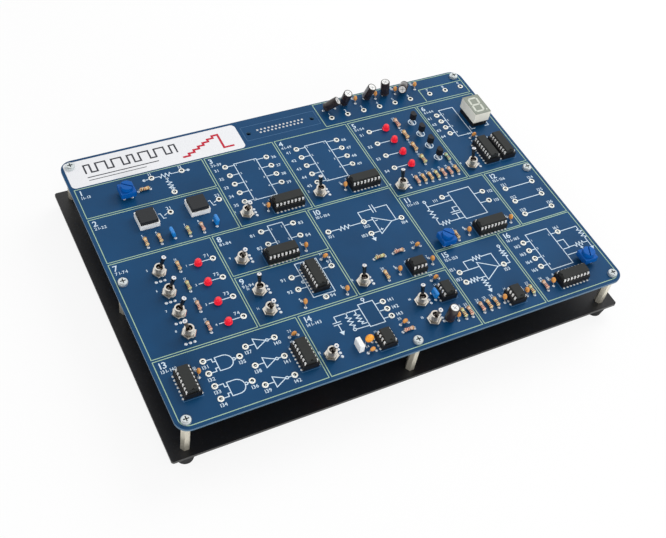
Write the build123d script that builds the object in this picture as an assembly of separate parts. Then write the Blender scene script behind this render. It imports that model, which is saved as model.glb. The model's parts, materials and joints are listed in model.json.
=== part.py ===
from build123d import *
from math import cos, radians, sqrt, tan
import os

# Digital electronics training module: a circuit board on hexagonal posts over a base plate.
# Millimetres. The origin is under the middle of the module, on the surface that the feet stand on.
# +X runs along the long side to the right, +Y to the back edge and +Z up.

# Board, base plate and feet
BOARD_LENGTH = 297.0
BOARD_DEPTH = 210.0
BOARD_THICKNESS = 1.6
BOARD_CORNER_RADIUS = 8.0
BASE_MARGIN_X = 3.9
BASE_MARGIN_Y = 0.8
BASE_THICKNESS = 2.0
BASE_CORNER_CHAMFER = 1.0
FOOT_HEIGHT = 9.0
FOOT_TOP_RADIUS = 6.6
FOOT_BOTTOM_RADIUS = 5.0
FOOT_EDGE_FILLET = 0.8

# Posts and screws
POST_ACROSS_FLATS = 5.0
POST_LENGTH = 25.0
POST_INSET_X = 6.2
POST_INSET_Y = 5.9
POST_THREAD_DEPTH = 9.0
SCREW_RADIUS = 1.5
SCREW_HEAD_RADIUS = 3.0
SCREW_HEAD_HEIGHT = 2.3
SCREW_HEAD_FILLET = 1.1
SCREW_REACH = 6.0
SCREW_SLOT_WIDTH = 0.75
SCREW_SLOT_LENGTH = 3.4
SCREW_SLOT_DEPTH = 1.1
FOOT_FLOOR = 3.0
THREAD_CLEARANCE = 0.05
HOLE_CLEARANCE = 0.1

# Test jacks, 2 mm
JACK_FLANGE_RADIUS = 1.9
JACK_FLANGE_HEIGHT = 0.5
JACK_EDGE_CHAMFER = 0.15
JACK_BARREL_RADIUS = 1.5
JACK_BORE_RADIUS = 1.0
JACK_BORE_DEPTH = 6.5
JACK_END_WALL = 0.8

# Toggle switches
NUT_ACROSS_FLATS = 8.0
NUT_HEIGHT = 2.2
NUT_CHAMFER = 0.35
BUSHING_RADIUS = 3.0
BUSHING_BORE_RADIUS = 2.45
BUSHING_HEIGHT = 6.3
BUSHING_CHAMFER = 0.2
BUSHING_MOUTH_CLEARANCE = 0.12
BUSHING_LIP_CLEARANCE = 0.1
HOUSING_LENGTH = 12.0
HOUSING_WIDTH = 6.9
HOUSING_HEIGHT = 9.5
HOUSING_WALL = 1.2
HOUSING_FILLET = 0.4
LEVER_TILT = 14.8
LEVER_PIVOT_HEIGHT = 3.5
LEVER_LENGTH = 10.8
LEVER_NECK_RADIUS = 0.85
LEVER_TIP_RADIUS = 1.4
LEVER_TIP_FILLET = 0.5
LEVER_TAIL_RADIUS = 0.6
LEVER_TAIL_LENGTH = 9.0
PIVOT_CLEARANCE = 0.07
TERMINAL_PITCH = 2.6
TERMINAL_RADIUS = 0.4
TERMINAL_DROP = 2.5
TERMINAL_REACH = 5.8

# Push buttons
BUTTON_CASE_SIDE = 12.6
BUTTON_CASE_HEIGHT = 3.4
BUTTON_CASE_WALL = 0.6
BUTTON_CASE_FLOOR = 0.8
BUTTON_CASE_FILLET = 0.5
BUTTON_CAP_SIDE = 11.0
BUTTON_CAP_TOP = 5.8
BUTTON_CAP_HEIGHT = 3.4
BUTTON_CAP_FILLET = 0.35
BUTTON_TRAVEL = 0.5
BUTTON_STOP_GAP = 0.1
BUTTON_PLUNGER_RADIUS = 1.75
DOME_RADIUS = 3.5
DOME_RISE = 0.55
DOME_THICKNESS = 0.2
BUTTON_PIN_SPACING_X = 10.0
BUTTON_PIN_SPACING_Y = 5.0
BUTTON_PIN_RADIUS = 0.4
BUTTON_PIN_TAIL = 1.5

# Trimmer potentiometers
TRIMMER_SIDE = 9.6
TRIMMER_LIFT = 2.6
TRIMMER_HEIGHT = 4.0
TRIMMER_FILLET = 0.4
TRIMMER_PIN_RADIUS = 0.3
TRIMMER_PIN_PITCH = 2.54
TRIMMER_PIN_SETBACK = 2.54
KNOB_RADIUS = 3.9
KNOB_HEIGHT = 2.7
KNOB_GAP = 0.1
KNOB_FILLET = 0.3
KNOB_SLOT_WIDTH = 0.9
KNOB_SLOT_DEPTH = 0.9
KNOB_STEM_RADIUS = 1.4
KNOB_STEM_LENGTH = 2.6

# Integrated circuits in sockets
PIN_PITCH = 2.54
ROW_SPACING = 7.62
SOCKET_WIDTH = 10.16
SOCKET_HEIGHT = 3.9
SOCKET_WINDOW_WIDTH = 4.4
SOCKET_BRIDGE = 1.6
SOCKET_HOLE_RADIUS = 0.5
CONTACT_RADIUS = 0.42
CONTACT_HEIGHT = 1.3
CHIP_GAP = 0.2
CHIP_HEIGHT = 3.3
CHIP_WIDTH = 6.4
CHIP_END_MARGIN = 0.45
CHIP_DRAFT = 8.0
CHIP_NOTCH_RADIUS = 0.9
CHIP_NOTCH_DEPTH = 0.7
LEAD_THICKNESS = 0.25
LEAD_SHOULDER_WIDTH = 1.2
LEAD_TIP_WIDTH = 0.46
LEAD_TIP_GAP = 0.15

# Seven-segment display
DISPLAY_WIDTH = 12.6
DISPLAY_DEPTH = 18.6
DISPLAY_HEIGHT = 8.0
DISPLAY_FILLET = 0.3
DISPLAY_SOCKET_WIDTH = 11.2
DISPLAY_SOCKET_DEPTH = 17.0
DISPLAY_SOCKET_HEIGHT = 4.2
DISPLAY_ROW_SPACING = 15.24
DISPLAY_PINS_PER_ROW = 5

# Light-emitting diodes and transistors
LED_RADIUS = 1.9
LED_RIM_RADIUS = 2.25
LED_RIM_HEIGHT = 0.9
LED_LIFT = 0.6
LED_HEIGHT = 4.7
TRANSISTOR_RADIUS = 2.35
TRANSISTOR_FLAT = 1.25
TRANSISTOR_LIFT = 3.9
TRANSISTOR_HEIGHT = 4.8
TRANSISTOR_PITCH = 1.27
LEAD_RADIUS = 0.25

# Resistors
RESISTOR_LENGTH = 6.0
RESISTOR_WAIST_RADIUS = 0.85
RESISTOR_END_RADIUS = 1.05
RESISTOR_END_LENGTH = 1.4
RESISTOR_FILLET = 0.3
RESISTOR_PAD_SPACING = 7.62
RESISTOR_AXIS_HEIGHT = 1.5
RAISED_RESISTOR_AXIS_HEIGHT = 1.8

# Capacitors
CERAMIC_RADIUS = 1.8
CERAMIC_THICKNESS = 2.0
CERAMIC_FILLET = 0.8
CERAMIC_CENTRE_HEIGHT = 2.7
CERAMIC_LEAN = 18.0
CAPACITOR_PAD_SPACING = 5.2
CAPACITOR_LEAD_RISE = 0.7
BLUE_THICKNESS = 2.4
BLUE_WIDTH = 6.0
BLUE_HEIGHT = 5.2
BLUE_LIFT = 0.6
BLUE_FILLET = 1.1
FILM_THICKNESS = 3.0
FILM_WIDTH = 7.2
FILM_HEIGHT = 5.5
FILM_FILLET = 0.3
DISC_RADIUS = 3.0
DISC_THICKNESS = 2.8
DISC_CENTRE_HEIGHT = 5.0
CAN_RADIUS = 3.15
CAN_HEIGHT = 11.0
CAN_FILLET = 0.5
CAN_GROOVE_HEIGHT = 1.6
CAN_GROOVE_RADIUS = 0.3
CAN_LEAD_SPACING = 2.5

# Rear connector, 25 ways
CONNECTOR_INSET = 13.2
CONNECTOR_SCREW_SPACING = 47.04
CONNECTOR_PITCH = 2.77
CONNECTOR_ROW_SPACING = 2.84
CONNECTOR_TAIL_SPACING = 2.6
CONNECTOR_DROP = 7.0
CONNECTOR_BLOCK_DEPTH = 4.6
CONNECTOR_BLOCK_HEIGHT = 10.4
FLANGE_SETBACK = 6.7
FLANGE_WIDTH = 53.0
FLANGE_HEIGHT = 12.5
FLANGE_THICKNESS = 1.0
FLANGE_CORNER_RADIUS = 1.5
SHELL_WIDTH = 38.3
SHELL_HEIGHT = 7.9
SHELL_SLOPE = 10.0
SHELL_CORNER_RADIUS = 2.2
SHELL_REACH = 5.9
SHELL_WALL = 0.5
EAR_WIDTH = 6.0
CONTACT_HOLE_RADIUS = 0.6
CONNECTOR_PIN_RADIUS = 0.5
CONNECTOR_PIN_INSET = 2.5
JACKSCREW_ACROSS_FLATS = 5.0
JACKSCREW_LENGTH = 4.8
JACKSCREW_BORE_RADIUS = 1.2
JACKSCREW_BORE_DEPTH = 4.2
JACKSCREW_SHANK_RADIUS = 1.4
JACKSCREW_SHANK_LENGTH = 4.0
EAR_HOLE_RADIUS = 1.6
EAR_HOLE_DEPTH = 4.0

# Levels and places that follow from the sizes
BASE_LENGTH = BOARD_LENGTH + 2 * BASE_MARGIN_X
BASE_DEPTH = BOARD_DEPTH + 2 * BASE_MARGIN_Y
BASE_TOP = FOOT_HEIGHT + BASE_THICKNESS
BOARD_BOTTOM = BASE_TOP + POST_LENGTH
BOARD_TOP = BOARD_BOTTOM + BOARD_THICKNESS
POST_X = BOARD_LENGTH / 2 - POST_INSET_X
POST_Y = BOARD_DEPTH / 2 - POST_INSET_Y
CONNECTOR_Y = BOARD_DEPTH / 2 - CONNECTOR_INSET
CONNECTOR_CENTRE = BOARD_BOTTOM - CONNECTOR_DROP
FLANGE_BACK = CONNECTOR_Y + FLANGE_SETBACK

# The parts stand on a grid over the board, with this many steps along it and across it
GRID_COLUMNS = 297
GRID_ROWS = 210

CENTRE = Align.CENTER
ON_FLOOR = (CENTRE, CENTRE, Align.MIN)


def column(x, top, pitch, count):
    """Places down a column, from its top place."""
    return [(x, top - pitch * n) for n in range(count)]


def row(left, y, pitch, count):
    """Places along a row, from its left place."""
    return [(left + pitch * n, y) for n in range(count)]


def on_grid(places):
    """The grid's places in millimetres from the board's centre; what follows X and Y is kept."""
    across, up = BOARD_LENGTH / GRID_COLUMNS, BOARD_DEPTH / GRID_ROWS
    return [(x * across, y * up, *rest) for x, y, *rest in places]


CORNER_POSTS = [(x * POST_X, y * POST_Y) for x in (-1, 1) for y in (-1, 1)]
EDGE_POSTS = [(-POST_X, 0.0), (POST_X, 0.0), (0.0, -POST_Y)]

JACKS = on_grid(
    [(-98.1, 73.7), (-77.9, 73.8), (-88.7, 57.9)]
    + row(-97.1, 42.7, 32.0, 2)
    + column(-50.6, 67.5, 8.0, 5)
    + column(-21.5, 67.5, 8.05, 4)
    + column(0.4, 67.5, 8.0, 5)
    + column(30.1, 67.0, 7.95, 4)
    + column(55.2, 66.7, 12.1, 4)
    + column(109.0, 66.2, 6.3, 4)
    + column(-86.9, -0.6, 15.4, 4)
    + column(-51.3, 8.7, 10.7, 2)
    + column(-29.6, 8.7, 10.7, 2)
    + column(-49.0, -30.8, 9.5, 2)
    + [(-22.3, -30.8), (-35.9, -51.0)]
    + [(-12.0, -5.7), (13.1, -5.7), (13.1, -16.0), (37.8, -10.7)]
    + [(72.1, -4.1), (100.8, -8.5), (100.8, -17.0)]
    + column(117.3, -11.8, 12.0, 3)
    + column(138.7, -11.8, 12.0, 3)
    + column(-120.2, -67.5, 8.65, 4)
    + column(-100.0, -71.6, 17.4, 2)
    + column(-94.4, -66.8, 13.65, 3)
    + column(-76.6, -66.8, 13.65, 3)
    + column(-5.8, -66.3, 5.6, 3)
    + column(49.9, -63.5, 8.1, 2)
    + [(80.2, -67.5), (129.3, -56.7)]
    + column(101.9, -57.0, 6.83, 4)
    + row(36.9, 87.8, 12.55, 6)
    + row(116.0, 88.2, 13.0, 3)
)

# Each toggle: place, turn of its throw from +X, side it leans to at rest and shift of its pads
PADS_BESIDE = 0.0
PADS_SHIFTED = -1.4
TOGGLES = on_grid([
    (-53.6, 25.0, 90, -1, PADS_BESIDE),
    (-2.4, 25.7, 90, 1, PADS_BESIDE),
    (51.2, 13.4, 90, 1, PADS_BESIDE),
    (106.8, 15.1, 90, 1, PADS_BESIDE),
    (-120.4, -0.5, 0, 1, PADS_SHIFTED),
    (-120.4, -16.7, 0, 1, PADS_SHIFTED),
    (-120.4, -32.4, 0, 1, PADS_SHIFTED),
    (-120.4, -47.4, 0, -1, PADS_SHIFTED),
    (-71.4, -8.6, 90, -1, PADS_BESIDE),
    (-71.2, -33.8, 90, 1, PADS_BESIDE),
    (-71.4, -49.1, 90, -1, PADS_BESIDE),
    (-10.2, -49.5, 90, 1, PADS_BESIDE),
    (-51.9, -90.1, 90, -1, PADS_BESIDE),
    (15.7, -75.0, 90, 1, PADS_BESIDE),
    (16.2, -89.6, 90, -1, PADS_BESIDE),
])
BUTTONS = on_grid(row(-113.0, 40.6, 32.7, 2))

# Each trimmer: place and angle of its knob's slot
TRIMMERS = on_grid([(-117.2, 64.9, -37.0), (54.3, -38.7, -52.0), (132.2, -83.2, 66.0)])

# Each integrated circuit: place, turn of its long side from +X and pins
CHIPS = on_grid([
    (-25.9, 25.4, 0, 16),
    (28.9, 25.4, 0, 16),
    (123.0, 22.8, 90, 16),
    (135.6, 22.8, 90, 16),
    (-47.4, -12.4, 0, 16),
    (-36.1, -36.0, 90, 16),
    (88.5, -36.9, 0, 16),
    (115.0, -92.0, 0, 16),
    (-133.4, -78.3, 90, 14),
    (-66.2, -84.8, 90, 14),
    (26.4, -50.2, 0, 8),
    (-17.9, -92.2, 90, 8),
    (33.2, -74.2, 90, 8),
    (72.3, -92.2, 90, 8),
])
DISPLAY = on_grid([(133.3, 56.5)])

LEDS = on_grid(column(67.4, 65.4, 12.1, 4) + column(-96.8, -1.9, 15.4, 4))
TRANSISTORS = on_grid(column(88.6, 65.9, 12.2, 4))

# Resistors that lie along X, along Y, and along Y raised from the board
RESISTORS_ALONG_X = on_grid([(-105.6, 65.4), (8.7, -35.4), (22.1, -35.4), (-1.3, -90.4)])
RESISTORS_ALONG_Y = on_grid(
    row(-119.5, 24.2, 8.7, 2)
    + row(-92.6, 24.1, 9.0, 2)
    + row(63.9, 14.8, 5.08, 7)
    + column(-108.3, 0.3, 15.75, 4)
    + [(5.8, -49.5), (63.8, -36.4), (35.7, -91.7), (40.1, -91.9)]
    + row(48.6, -91.7, 5.1, 3)
    + row(85.2, -91.5, 10.3, 2)
)
RAISED_RESISTORS = on_grid(column(77.3, 67.7, 12.4, 4))

# Ceramic capacitors with their leads apart along Y and along X
CERAMICS_ALONG_Y = on_grid(
    [(-39.6, 26.0), (15.0, 26.1), (-31.5, -12.0), (-50.7, -51.3), (-23.0, -51.2)]
    + [(14.5, -48.9), (37.6, -48.9), (72.4, -36.1), (104.2, -36.3), (-126.0, -73.8)]
    + [(64.3, -91.1), (80.4, -91.6), (100.7, -91.0), (30.4, -92.3)]
    + row(43.5, 98.6, 16.1, 5)
)
CERAMICS_ALONG_X = on_grid([
    (122.9, 38.9),
    (-23.4, -24.0),
    (35.0, -35.7),
    (-65.9, -69.9),
    (-28.6, -96.0),
    (-1.4, -85.2),
    (32.7, -62.7),
])

# Each blue capacitor: place and sideways lean
BLUE_CAPACITORS = on_grid([(-101.8, 24.6, -16.0), (-74.7, 24.9, 7.0), (25.2, -73.9, 6.0)])
FILM_CAPACITOR = on_grid([(-34.4, -90.6)])
DISC_CAPACITOR = on_grid([(-28.0, -90.0)])

# Each electrolytic capacitor: foot of its can, sideways lean, lean to the back and height of the foot
ELECTROLYTICS = on_grid([
    (35.8, 96.3, 37.0, -26.6, 2.6),
    (51.3, 98.2, 2.0, -16.0, 1.5),
    (69.0, 98.5, 10.5, -13.5, 1.5),
    (83.6, 97.5, -7.0, 1.0, 1.5),
    (100.2, 99.0, -38.0, -62.0, 3.6),
    (24.9, -92.6, 4.5, -3.0, 1.5),
])


def drum(radius, low, high):
    """An upright cylinder between two heights."""
    return Pos(0, 0, low) * Cylinder(radius, high - low, align=ON_FLOOR)


def block(size_x, size_y, low, high):
    """A centred box between two heights."""
    return Pos(0, 0, low) * Box(size_x, size_y, high - low, align=ON_FLOOR)


def hexagon(across_flats, low, high):
    """An upright hexagonal bar between two heights."""
    outline = RegularPolygon(across_flats / 2, 6, major_radius=False)
    return Pos(0, 0, low) * extrude(outline, high - low)


def rod(start, end, radius):
    """A round rod from one point to another."""
    path = Vector(*end) - Vector(*start)
    return Plane(origin=start, z_dir=path) * Cylinder(radius, path.length, align=ON_FLOOR)


def bent_wire(points, radius):
    """A round wire through points, with a ball at each bend."""
    shape = rod(points[0], points[1], radius)
    for start, end in zip(points[1:], points[2:]):
        shape += Pos(*start) * Sphere(radius)
        shape += rod(start, end, radius)
    return shape


def on_board(shape, places, turn=0):
    """Copies of a shape that was made at the origin, on the board's top face."""
    return [Pos(x, y, BOARD_TOP) * Rot(0, 0, turn) * shape for x, y in places]


def save(name, shapes):
    """Writes the solids of some shapes as one named piece."""
    solids = [solid for shape in shapes for solid in shape.solids()]
    export_step(Compound(solids), f"parts/{name}.step")


def top_edges(shape):
    """The edges around a shape's top face."""
    return shape.faces().sort_by(Axis.Z)[-1].edges()


def upright_edges(shape):
    """The straight edges that run up a shape."""
    return shape.edges().filter_by(Axis.Z)


# Board, base and fasteners


def circuit_board():
    """The board with the holes of everything that passes through it."""
    corner_pin = (BUTTON_PIN_SPACING_X / 2, BUTTON_PIN_SPACING_Y / 2)
    button_pins = [
        (x + side * corner_pin[0], y + end * corner_pin[1])
        for x, y in BUTTONS
        for side in (-1, 1)
        for end in (-1, 1)
    ]
    holes = [
        (SCREW_RADIUS + HOLE_CLEARANCE, CORNER_POSTS + EDGE_POSTS),
        (JACK_BARREL_RADIUS + HOLE_CLEARANCE, JACKS),
        (BUSHING_RADIUS + HOLE_CLEARANCE, [toggle[:2] for toggle in TOGGLES]),
        (BUTTON_PIN_RADIUS + HOLE_CLEARANCE, button_pins),
        (EAR_HOLE_RADIUS, [(side * CONNECTOR_SCREW_SPACING / 2, CONNECTOR_Y) for side in (-1, 1)]),
    ]
    outline = RectangleRounded(BOARD_LENGTH, BOARD_DEPTH, BOARD_CORNER_RADIUS)
    cuts = [Pos(x, y) * Circle(radius) for radius, places in holes for x, y in places]
    return Pos(0, 0, BOARD_BOTTOM) * extrude(outline - cuts, BOARD_THICKNESS)


def base_plate():
    """The plate under the board, with a screw hole at each post."""
    plate = block(BASE_LENGTH, BASE_DEPTH, FOOT_HEIGHT, BASE_TOP)
    plate = chamfer(upright_edges(plate), BASE_CORNER_CHAMFER)
    hole = drum(SCREW_RADIUS + HOLE_CLEARANCE, FOOT_HEIGHT, BASE_TOP)
    return plate - [Pos(x, y, 0) * hole for x, y in CORNER_POSTS + EDGE_POSTS]


def rubber_foot():
    """A tapered foot with a well for its screw's head."""
    foot = Cone(FOOT_BOTTOM_RADIUS, FOOT_TOP_RADIUS, FOOT_HEIGHT, align=ON_FLOOR)
    foot = fillet(foot.edges().sort_by(Axis.Z)[0], FOOT_EDGE_FILLET)
    foot -= drum(SCREW_HEAD_RADIUS + HOLE_CLEARANCE, 0, FOOT_HEIGHT - FOOT_FLOOR)
    return foot - drum(SCREW_RADIUS + HOLE_CLEARANCE, 0, FOOT_HEIGHT)


def post():
    """A hexagonal post with a threaded hole in each end."""
    bar = hexagon(POST_ACROSS_FLATS, BASE_TOP, BOARD_BOTTOM)
    radius = SCREW_RADIUS + THREAD_CLEARANCE
    bar -= drum(radius, BASE_TOP, BASE_TOP + POST_THREAD_DEPTH)
    return bar - drum(radius, BOARD_BOTTOM - POST_THREAD_DEPTH, BOARD_BOTTOM)


def pan_screw(clamped):
    """A cross-slotted screw: its head rests on z = 0 and its shank goes through what it clamps."""
    head = fillet(top_edges(drum(SCREW_HEAD_RADIUS, 0, SCREW_HEAD_HEIGHT)), SCREW_HEAD_FILLET)
    for width, length in (
        (SCREW_SLOT_WIDTH, SCREW_SLOT_LENGTH),
        (SCREW_SLOT_LENGTH, SCREW_SLOT_WIDTH),
    ):
        head -= block(width, length, SCREW_HEAD_HEIGHT - SCREW_SLOT_DEPTH, SCREW_HEAD_HEIGHT)
    return head + drum(SCREW_RADIUS, -clamped - SCREW_REACH, 0)


def base_screws():
    """The screws from below: through foot and plate at the corners, through the plate elsewhere."""
    long_screw = Rot(180, 0, 0) * pan_screw(FOOT_FLOOR + BASE_THICKNESS)
    short_screw = Rot(180, 0, 0) * pan_screw(BASE_THICKNESS)
    corners = [Pos(x, y, FOOT_HEIGHT - FOOT_FLOOR) * long_screw for x, y in CORNER_POSTS]
    return corners + [Pos(x, y, FOOT_HEIGHT) * short_screw for x, y in EDGE_POSTS]


def test_jack():
    """A flanged barrel with a blind bore."""
    flange = drum(JACK_FLANGE_RADIUS, 0, JACK_FLANGE_HEIGHT)
    flange = chamfer(top_edges(flange), JACK_EDGE_CHAMFER)
    bore_floor = JACK_FLANGE_HEIGHT - JACK_BORE_DEPTH
    jack = flange + drum(JACK_BARREL_RADIUS, bore_floor - JACK_END_WALL, 0)
    return jack - drum(JACK_BORE_RADIUS, bore_floor, JACK_FLANGE_HEIGHT)


# Toggle switches


def toggle_housing():
    """The case under the board, hollow where the lever's tail swings."""
    top = -BOARD_THICKNESS
    case = block(HOUSING_LENGTH, HOUSING_WIDTH, top - HOUSING_HEIGHT, top)
    case = fillet(upright_edges(case), HOUSING_FILLET)
    room_length = HOUSING_LENGTH - 2 * HOUSING_WALL
    room_width = HOUSING_WIDTH - 2 * HOUSING_WALL
    case -= block(room_length, room_width, top - HOUSING_HEIGHT + HOUSING_WALL, top - HOUSING_WALL)
    return case - drum(BUSHING_BORE_RADIUS, top - HOUSING_WALL, top)


def ball_radius():
    """The radius of the lever's ball, which turns in the bushing's bore."""
    return BUSHING_BORE_RADIUS - PIVOT_CLEARANCE


def mouth_radius():
    """The radius of the bushing's mouth, which the tilted lever just clears."""
    rise = BUSHING_HEIGHT - LEVER_PIVOT_HEIGHT
    tilt = radians(LEVER_TILT)
    growth = (LEVER_TIP_RADIUS - LEVER_NECK_RADIUS) / LEVER_LENGTH
    lever_radius = LEVER_NECK_RADIUS + growth * rise / cos(tilt)
    return rise * tan(tilt) + lever_radius / cos(tilt) + BUSHING_MOUTH_CLEARANCE


def toggle_bushing():
    """The threaded tube that the lever comes out of, with a lip over the ball."""
    tube = drum(BUSHING_RADIUS, -BOARD_THICKNESS, BUSHING_HEIGHT)
    tube = chamfer(top_edges(tube), BUSHING_CHAMFER)
    mouth = mouth_radius()
    reach = ball_radius() + BUSHING_LIP_CLEARANCE
    lip_floor = LEVER_PIVOT_HEIGHT + sqrt(reach**2 - mouth**2)
    tube -= drum(BUSHING_BORE_RADIUS, -BOARD_THICKNESS, lip_floor)
    return tube - drum(mouth, lip_floor, BUSHING_HEIGHT)


def toggle_nut():
    """The hexagonal nut on the bushing."""
    nut = hexagon(NUT_ACROSS_FLATS, 0, NUT_HEIGHT)
    nut = chamfer(top_edges(nut), NUT_CHAMFER)
    return nut - drum(BUSHING_RADIUS + THREAD_CLEARANCE, 0, NUT_HEIGHT)


def toggle_terminals(shift):
    """The three wires from under the case to the board beside it."""
    case_floor = -BOARD_THICKNESS - HOUSING_HEIGHT
    low = case_floor - TERMINAL_DROP
    wires = []
    for step in (-1, 0, 1):
        x = step * TERMINAL_PITCH
        pad = (x + shift, -TERMINAL_REACH)
        points = [(x, 0, case_floor), (x, 0, low), (*pad, low), (*pad, -BOARD_THICKNESS)]
        wires.append(bent_wire(points, TERMINAL_RADIUS))
    return wires


def toggle_lever(lean):
    """The lever on its ball, tilted to the side where it rests."""
    ball = Sphere(ball_radius())
    bat = Cone(LEVER_NECK_RADIUS, LEVER_TIP_RADIUS, LEVER_LENGTH, align=ON_FLOOR)
    bat = fillet(top_edges(bat), LEVER_TIP_FILLET)
    lever = ball + bat + drum(LEVER_TAIL_RADIUS, -LEVER_TAIL_LENGTH, 0)
    return Pos(0, 0, LEVER_PIVOT_HEIGHT) * Rot(0, lean * LEVER_TILT, 0) * lever


# Push buttons


def button_case():
    """The open square case of a push button."""
    case = block(BUTTON_CASE_SIDE, BUTTON_CASE_SIDE, 0, BUTTON_CASE_HEIGHT)
    case = fillet(upright_edges(case), BUTTON_CASE_FILLET)
    inside = BUTTON_CASE_SIDE - 2 * BUTTON_CASE_WALL
    return case - block(inside, inside, BUTTON_CASE_FLOOR, BUTTON_CASE_HEIGHT)


def button_cap():
    """The flat square cap, with the short plunger under it."""
    low = BUTTON_CAP_TOP - BUTTON_CAP_HEIGHT
    cap = block(BUTTON_CAP_SIDE, BUTTON_CAP_SIDE, low, BUTTON_CAP_TOP)
    cap = fillet(upright_edges(cap) + top_edges(cap), BUTTON_CAP_FILLET)
    plunger_end = BUTTON_CASE_FLOOR + DOME_RISE + DOME_THICKNESS + BUTTON_TRAVEL + BUTTON_STOP_GAP
    return cap + drum(BUTTON_PLUNGER_RADIUS, plunger_end, low)


def button_dome():
    """The dished snap disc on the floor of the case."""
    radius = (DOME_RADIUS**2 + DOME_RISE**2) / (2 * DOME_RISE)
    centre = BUTTON_CASE_FLOOR + DOME_RISE - radius
    outer = Pos(0, 0, centre) * Sphere(radius + DOME_THICKNESS)
    inner = Pos(0, 0, centre) * Sphere(radius)
    return (outer - inner) & drum(DOME_RADIUS, BUTTON_CASE_FLOOR, BUTTON_CASE_HEIGHT)


def button_pins():
    """The four soldered pins under a push button."""
    pin = drum(BUTTON_PIN_RADIUS, -BOARD_THICKNESS - BUTTON_PIN_TAIL, 0)
    return [
        Pos(x * BUTTON_PIN_SPACING_X / 2, y * BUTTON_PIN_SPACING_Y / 2, 0) * pin
        for x in (-1, 1)
        for y in (-1, 1)
    ]


# Trimmer potentiometers


def trimmer_body():
    """The square case on its pins, with the hole that the knob's stem turns in."""
    top = TRIMMER_LIFT + TRIMMER_HEIGHT
    body = block(TRIMMER_SIDE, TRIMMER_SIDE, TRIMMER_LIFT, top)
    body = fillet(upright_edges(body) + top_edges(body), TRIMMER_FILLET)
    depth = KNOB_STEM_LENGTH + KNOB_GAP
    return body - drum(KNOB_STEM_RADIUS + THREAD_CLEARANCE, top - depth, top)


def trimmer_pins():
    """The three pins under a trimmer."""
    pin = drum(TRIMMER_PIN_RADIUS, 0, TRIMMER_LIFT)
    setbacks = (-TRIMMER_PIN_SETBACK, TRIMMER_PIN_SETBACK, -TRIMMER_PIN_SETBACK)
    return [Pos(n * TRIMMER_PIN_PITCH, y, 0) * pin for n, y in zip((-1, 0, 1), setbacks)]


def trimmer_knob():
    """The round slotted knob and its stem."""
    low = TRIMMER_LIFT + TRIMMER_HEIGHT + KNOB_GAP
    top = low + KNOB_HEIGHT
    knob = fillet(top_edges(drum(KNOB_RADIUS, low, top)), KNOB_FILLET)
    knob -= block(2 * KNOB_RADIUS, KNOB_SLOT_WIDTH, top - KNOB_SLOT_DEPTH, top)
    return knob + drum(KNOB_STEM_RADIUS, low - KNOB_STEM_LENGTH, low)


# Integrated circuits


def pin_places(pins):
    """The places of a dual row of pins, the long side along X."""
    per_row = pins // 2
    left = -(per_row - 1) * PIN_PITCH / 2
    return [(left + n * PIN_PITCH, side * ROW_SPACING / 2) for n in range(per_row) for side in (-1, 1)]


def chip_socket(pins):
    """An open socket frame with a hole for each lead."""
    length = pins // 2 * PIN_PITCH
    face = Rectangle(length, SOCKET_WIDTH) - Rectangle(length - 2 * SOCKET_BRIDGE, SOCKET_WINDOW_WIDTH)
    face -= [Pos(x, y) * Circle(SOCKET_HOLE_RADIUS) for x, y in pin_places(pins)]
    return extrude(face, SOCKET_HEIGHT)


def chip_body(pins):
    """The moulded package: two drafted halves with a notch at one end."""
    low = SOCKET_HEIGHT + CHIP_GAP
    middle = low + CHIP_HEIGHT / 2
    length = pins // 2 * PIN_PITCH - 2 * CHIP_END_MARGIN
    outline = Rectangle(length, CHIP_WIDTH)
    upper = extrude(outline, CHIP_HEIGHT / 2, taper=CHIP_DRAFT)
    lower = Rot(180, 0, 0) * upper
    body = Pos(0, 0, middle) * (upper + lower)
    notch = drum(CHIP_NOTCH_RADIUS, low + CHIP_HEIGHT - CHIP_NOTCH_DEPTH, low + CHIP_HEIGHT)
    return body - Pos(-length / 2, 0, 0) * notch


def chip_leads(pins):
    """The bent leads, each a shoulder beside the package over a blade that goes into the socket."""
    middle = SOCKET_HEIGHT + CHIP_GAP + CHIP_HEIGHT / 2
    shoulder_length = (ROW_SPACING - CHIP_WIDTH + LEAD_THICKNESS) / 2
    shoulder = Box(LEAD_SHOULDER_WIDTH, shoulder_length, LEAD_THICKNESS)
    shoulder = Pos(0, (LEAD_THICKNESS - shoulder_length) / 2, middle) * shoulder
    blade = block(LEAD_SHOULDER_WIDTH, LEAD_THICKNESS, SOCKET_HEIGHT + CHIP_GAP / 2, middle)
    tip = block(LEAD_TIP_WIDTH, LEAD_THICKNESS, CONTACT_HEIGHT + LEAD_TIP_GAP, middle)
    lead = shoulder + blade + tip
    return [Pos(x, y, 0) * Rot(0, 0, 0 if y > 0 else 180) * lead for x, y in pin_places(pins)]


def socket_contacts(pins):
    """The contacts at the bottom of a socket's holes."""
    contact = drum(CONTACT_RADIUS, 0, CONTACT_HEIGHT)
    return [Pos(x, y, 0) * contact for x, y in pin_places(pins)]


def all_chips(make):
    """What make returns for each integrated circuit, put in its place."""
    made = {pins: make(pins) for pins in (8, 14, 16)}
    shapes = []
    for x, y, turn, pins in CHIPS:
        kind = made[pins]
        for shape in kind if isinstance(kind, list) else [kind]:
            shapes.append(Pos(x, y, BOARD_TOP) * Rot(0, 0, turn) * shape)
    return shapes


# Display, diodes and transistors


def display_pin_places():
    """The places of the display's two rows of pins."""
    left = -(DISPLAY_PINS_PER_ROW - 1) * PIN_PITCH / 2
    places = []
    for side in (-1, 1):
        places += row(left, side * DISPLAY_ROW_SPACING / 2, PIN_PITCH, DISPLAY_PINS_PER_ROW)
    return places


def display_pins():
    """The two rows of pins between display and board."""
    pin = drum(LEAD_RADIUS, 0, DISPLAY_SOCKET_HEIGHT)
    return [Pos(x, y, 0) * pin for x, y in display_pin_places()]


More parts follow.
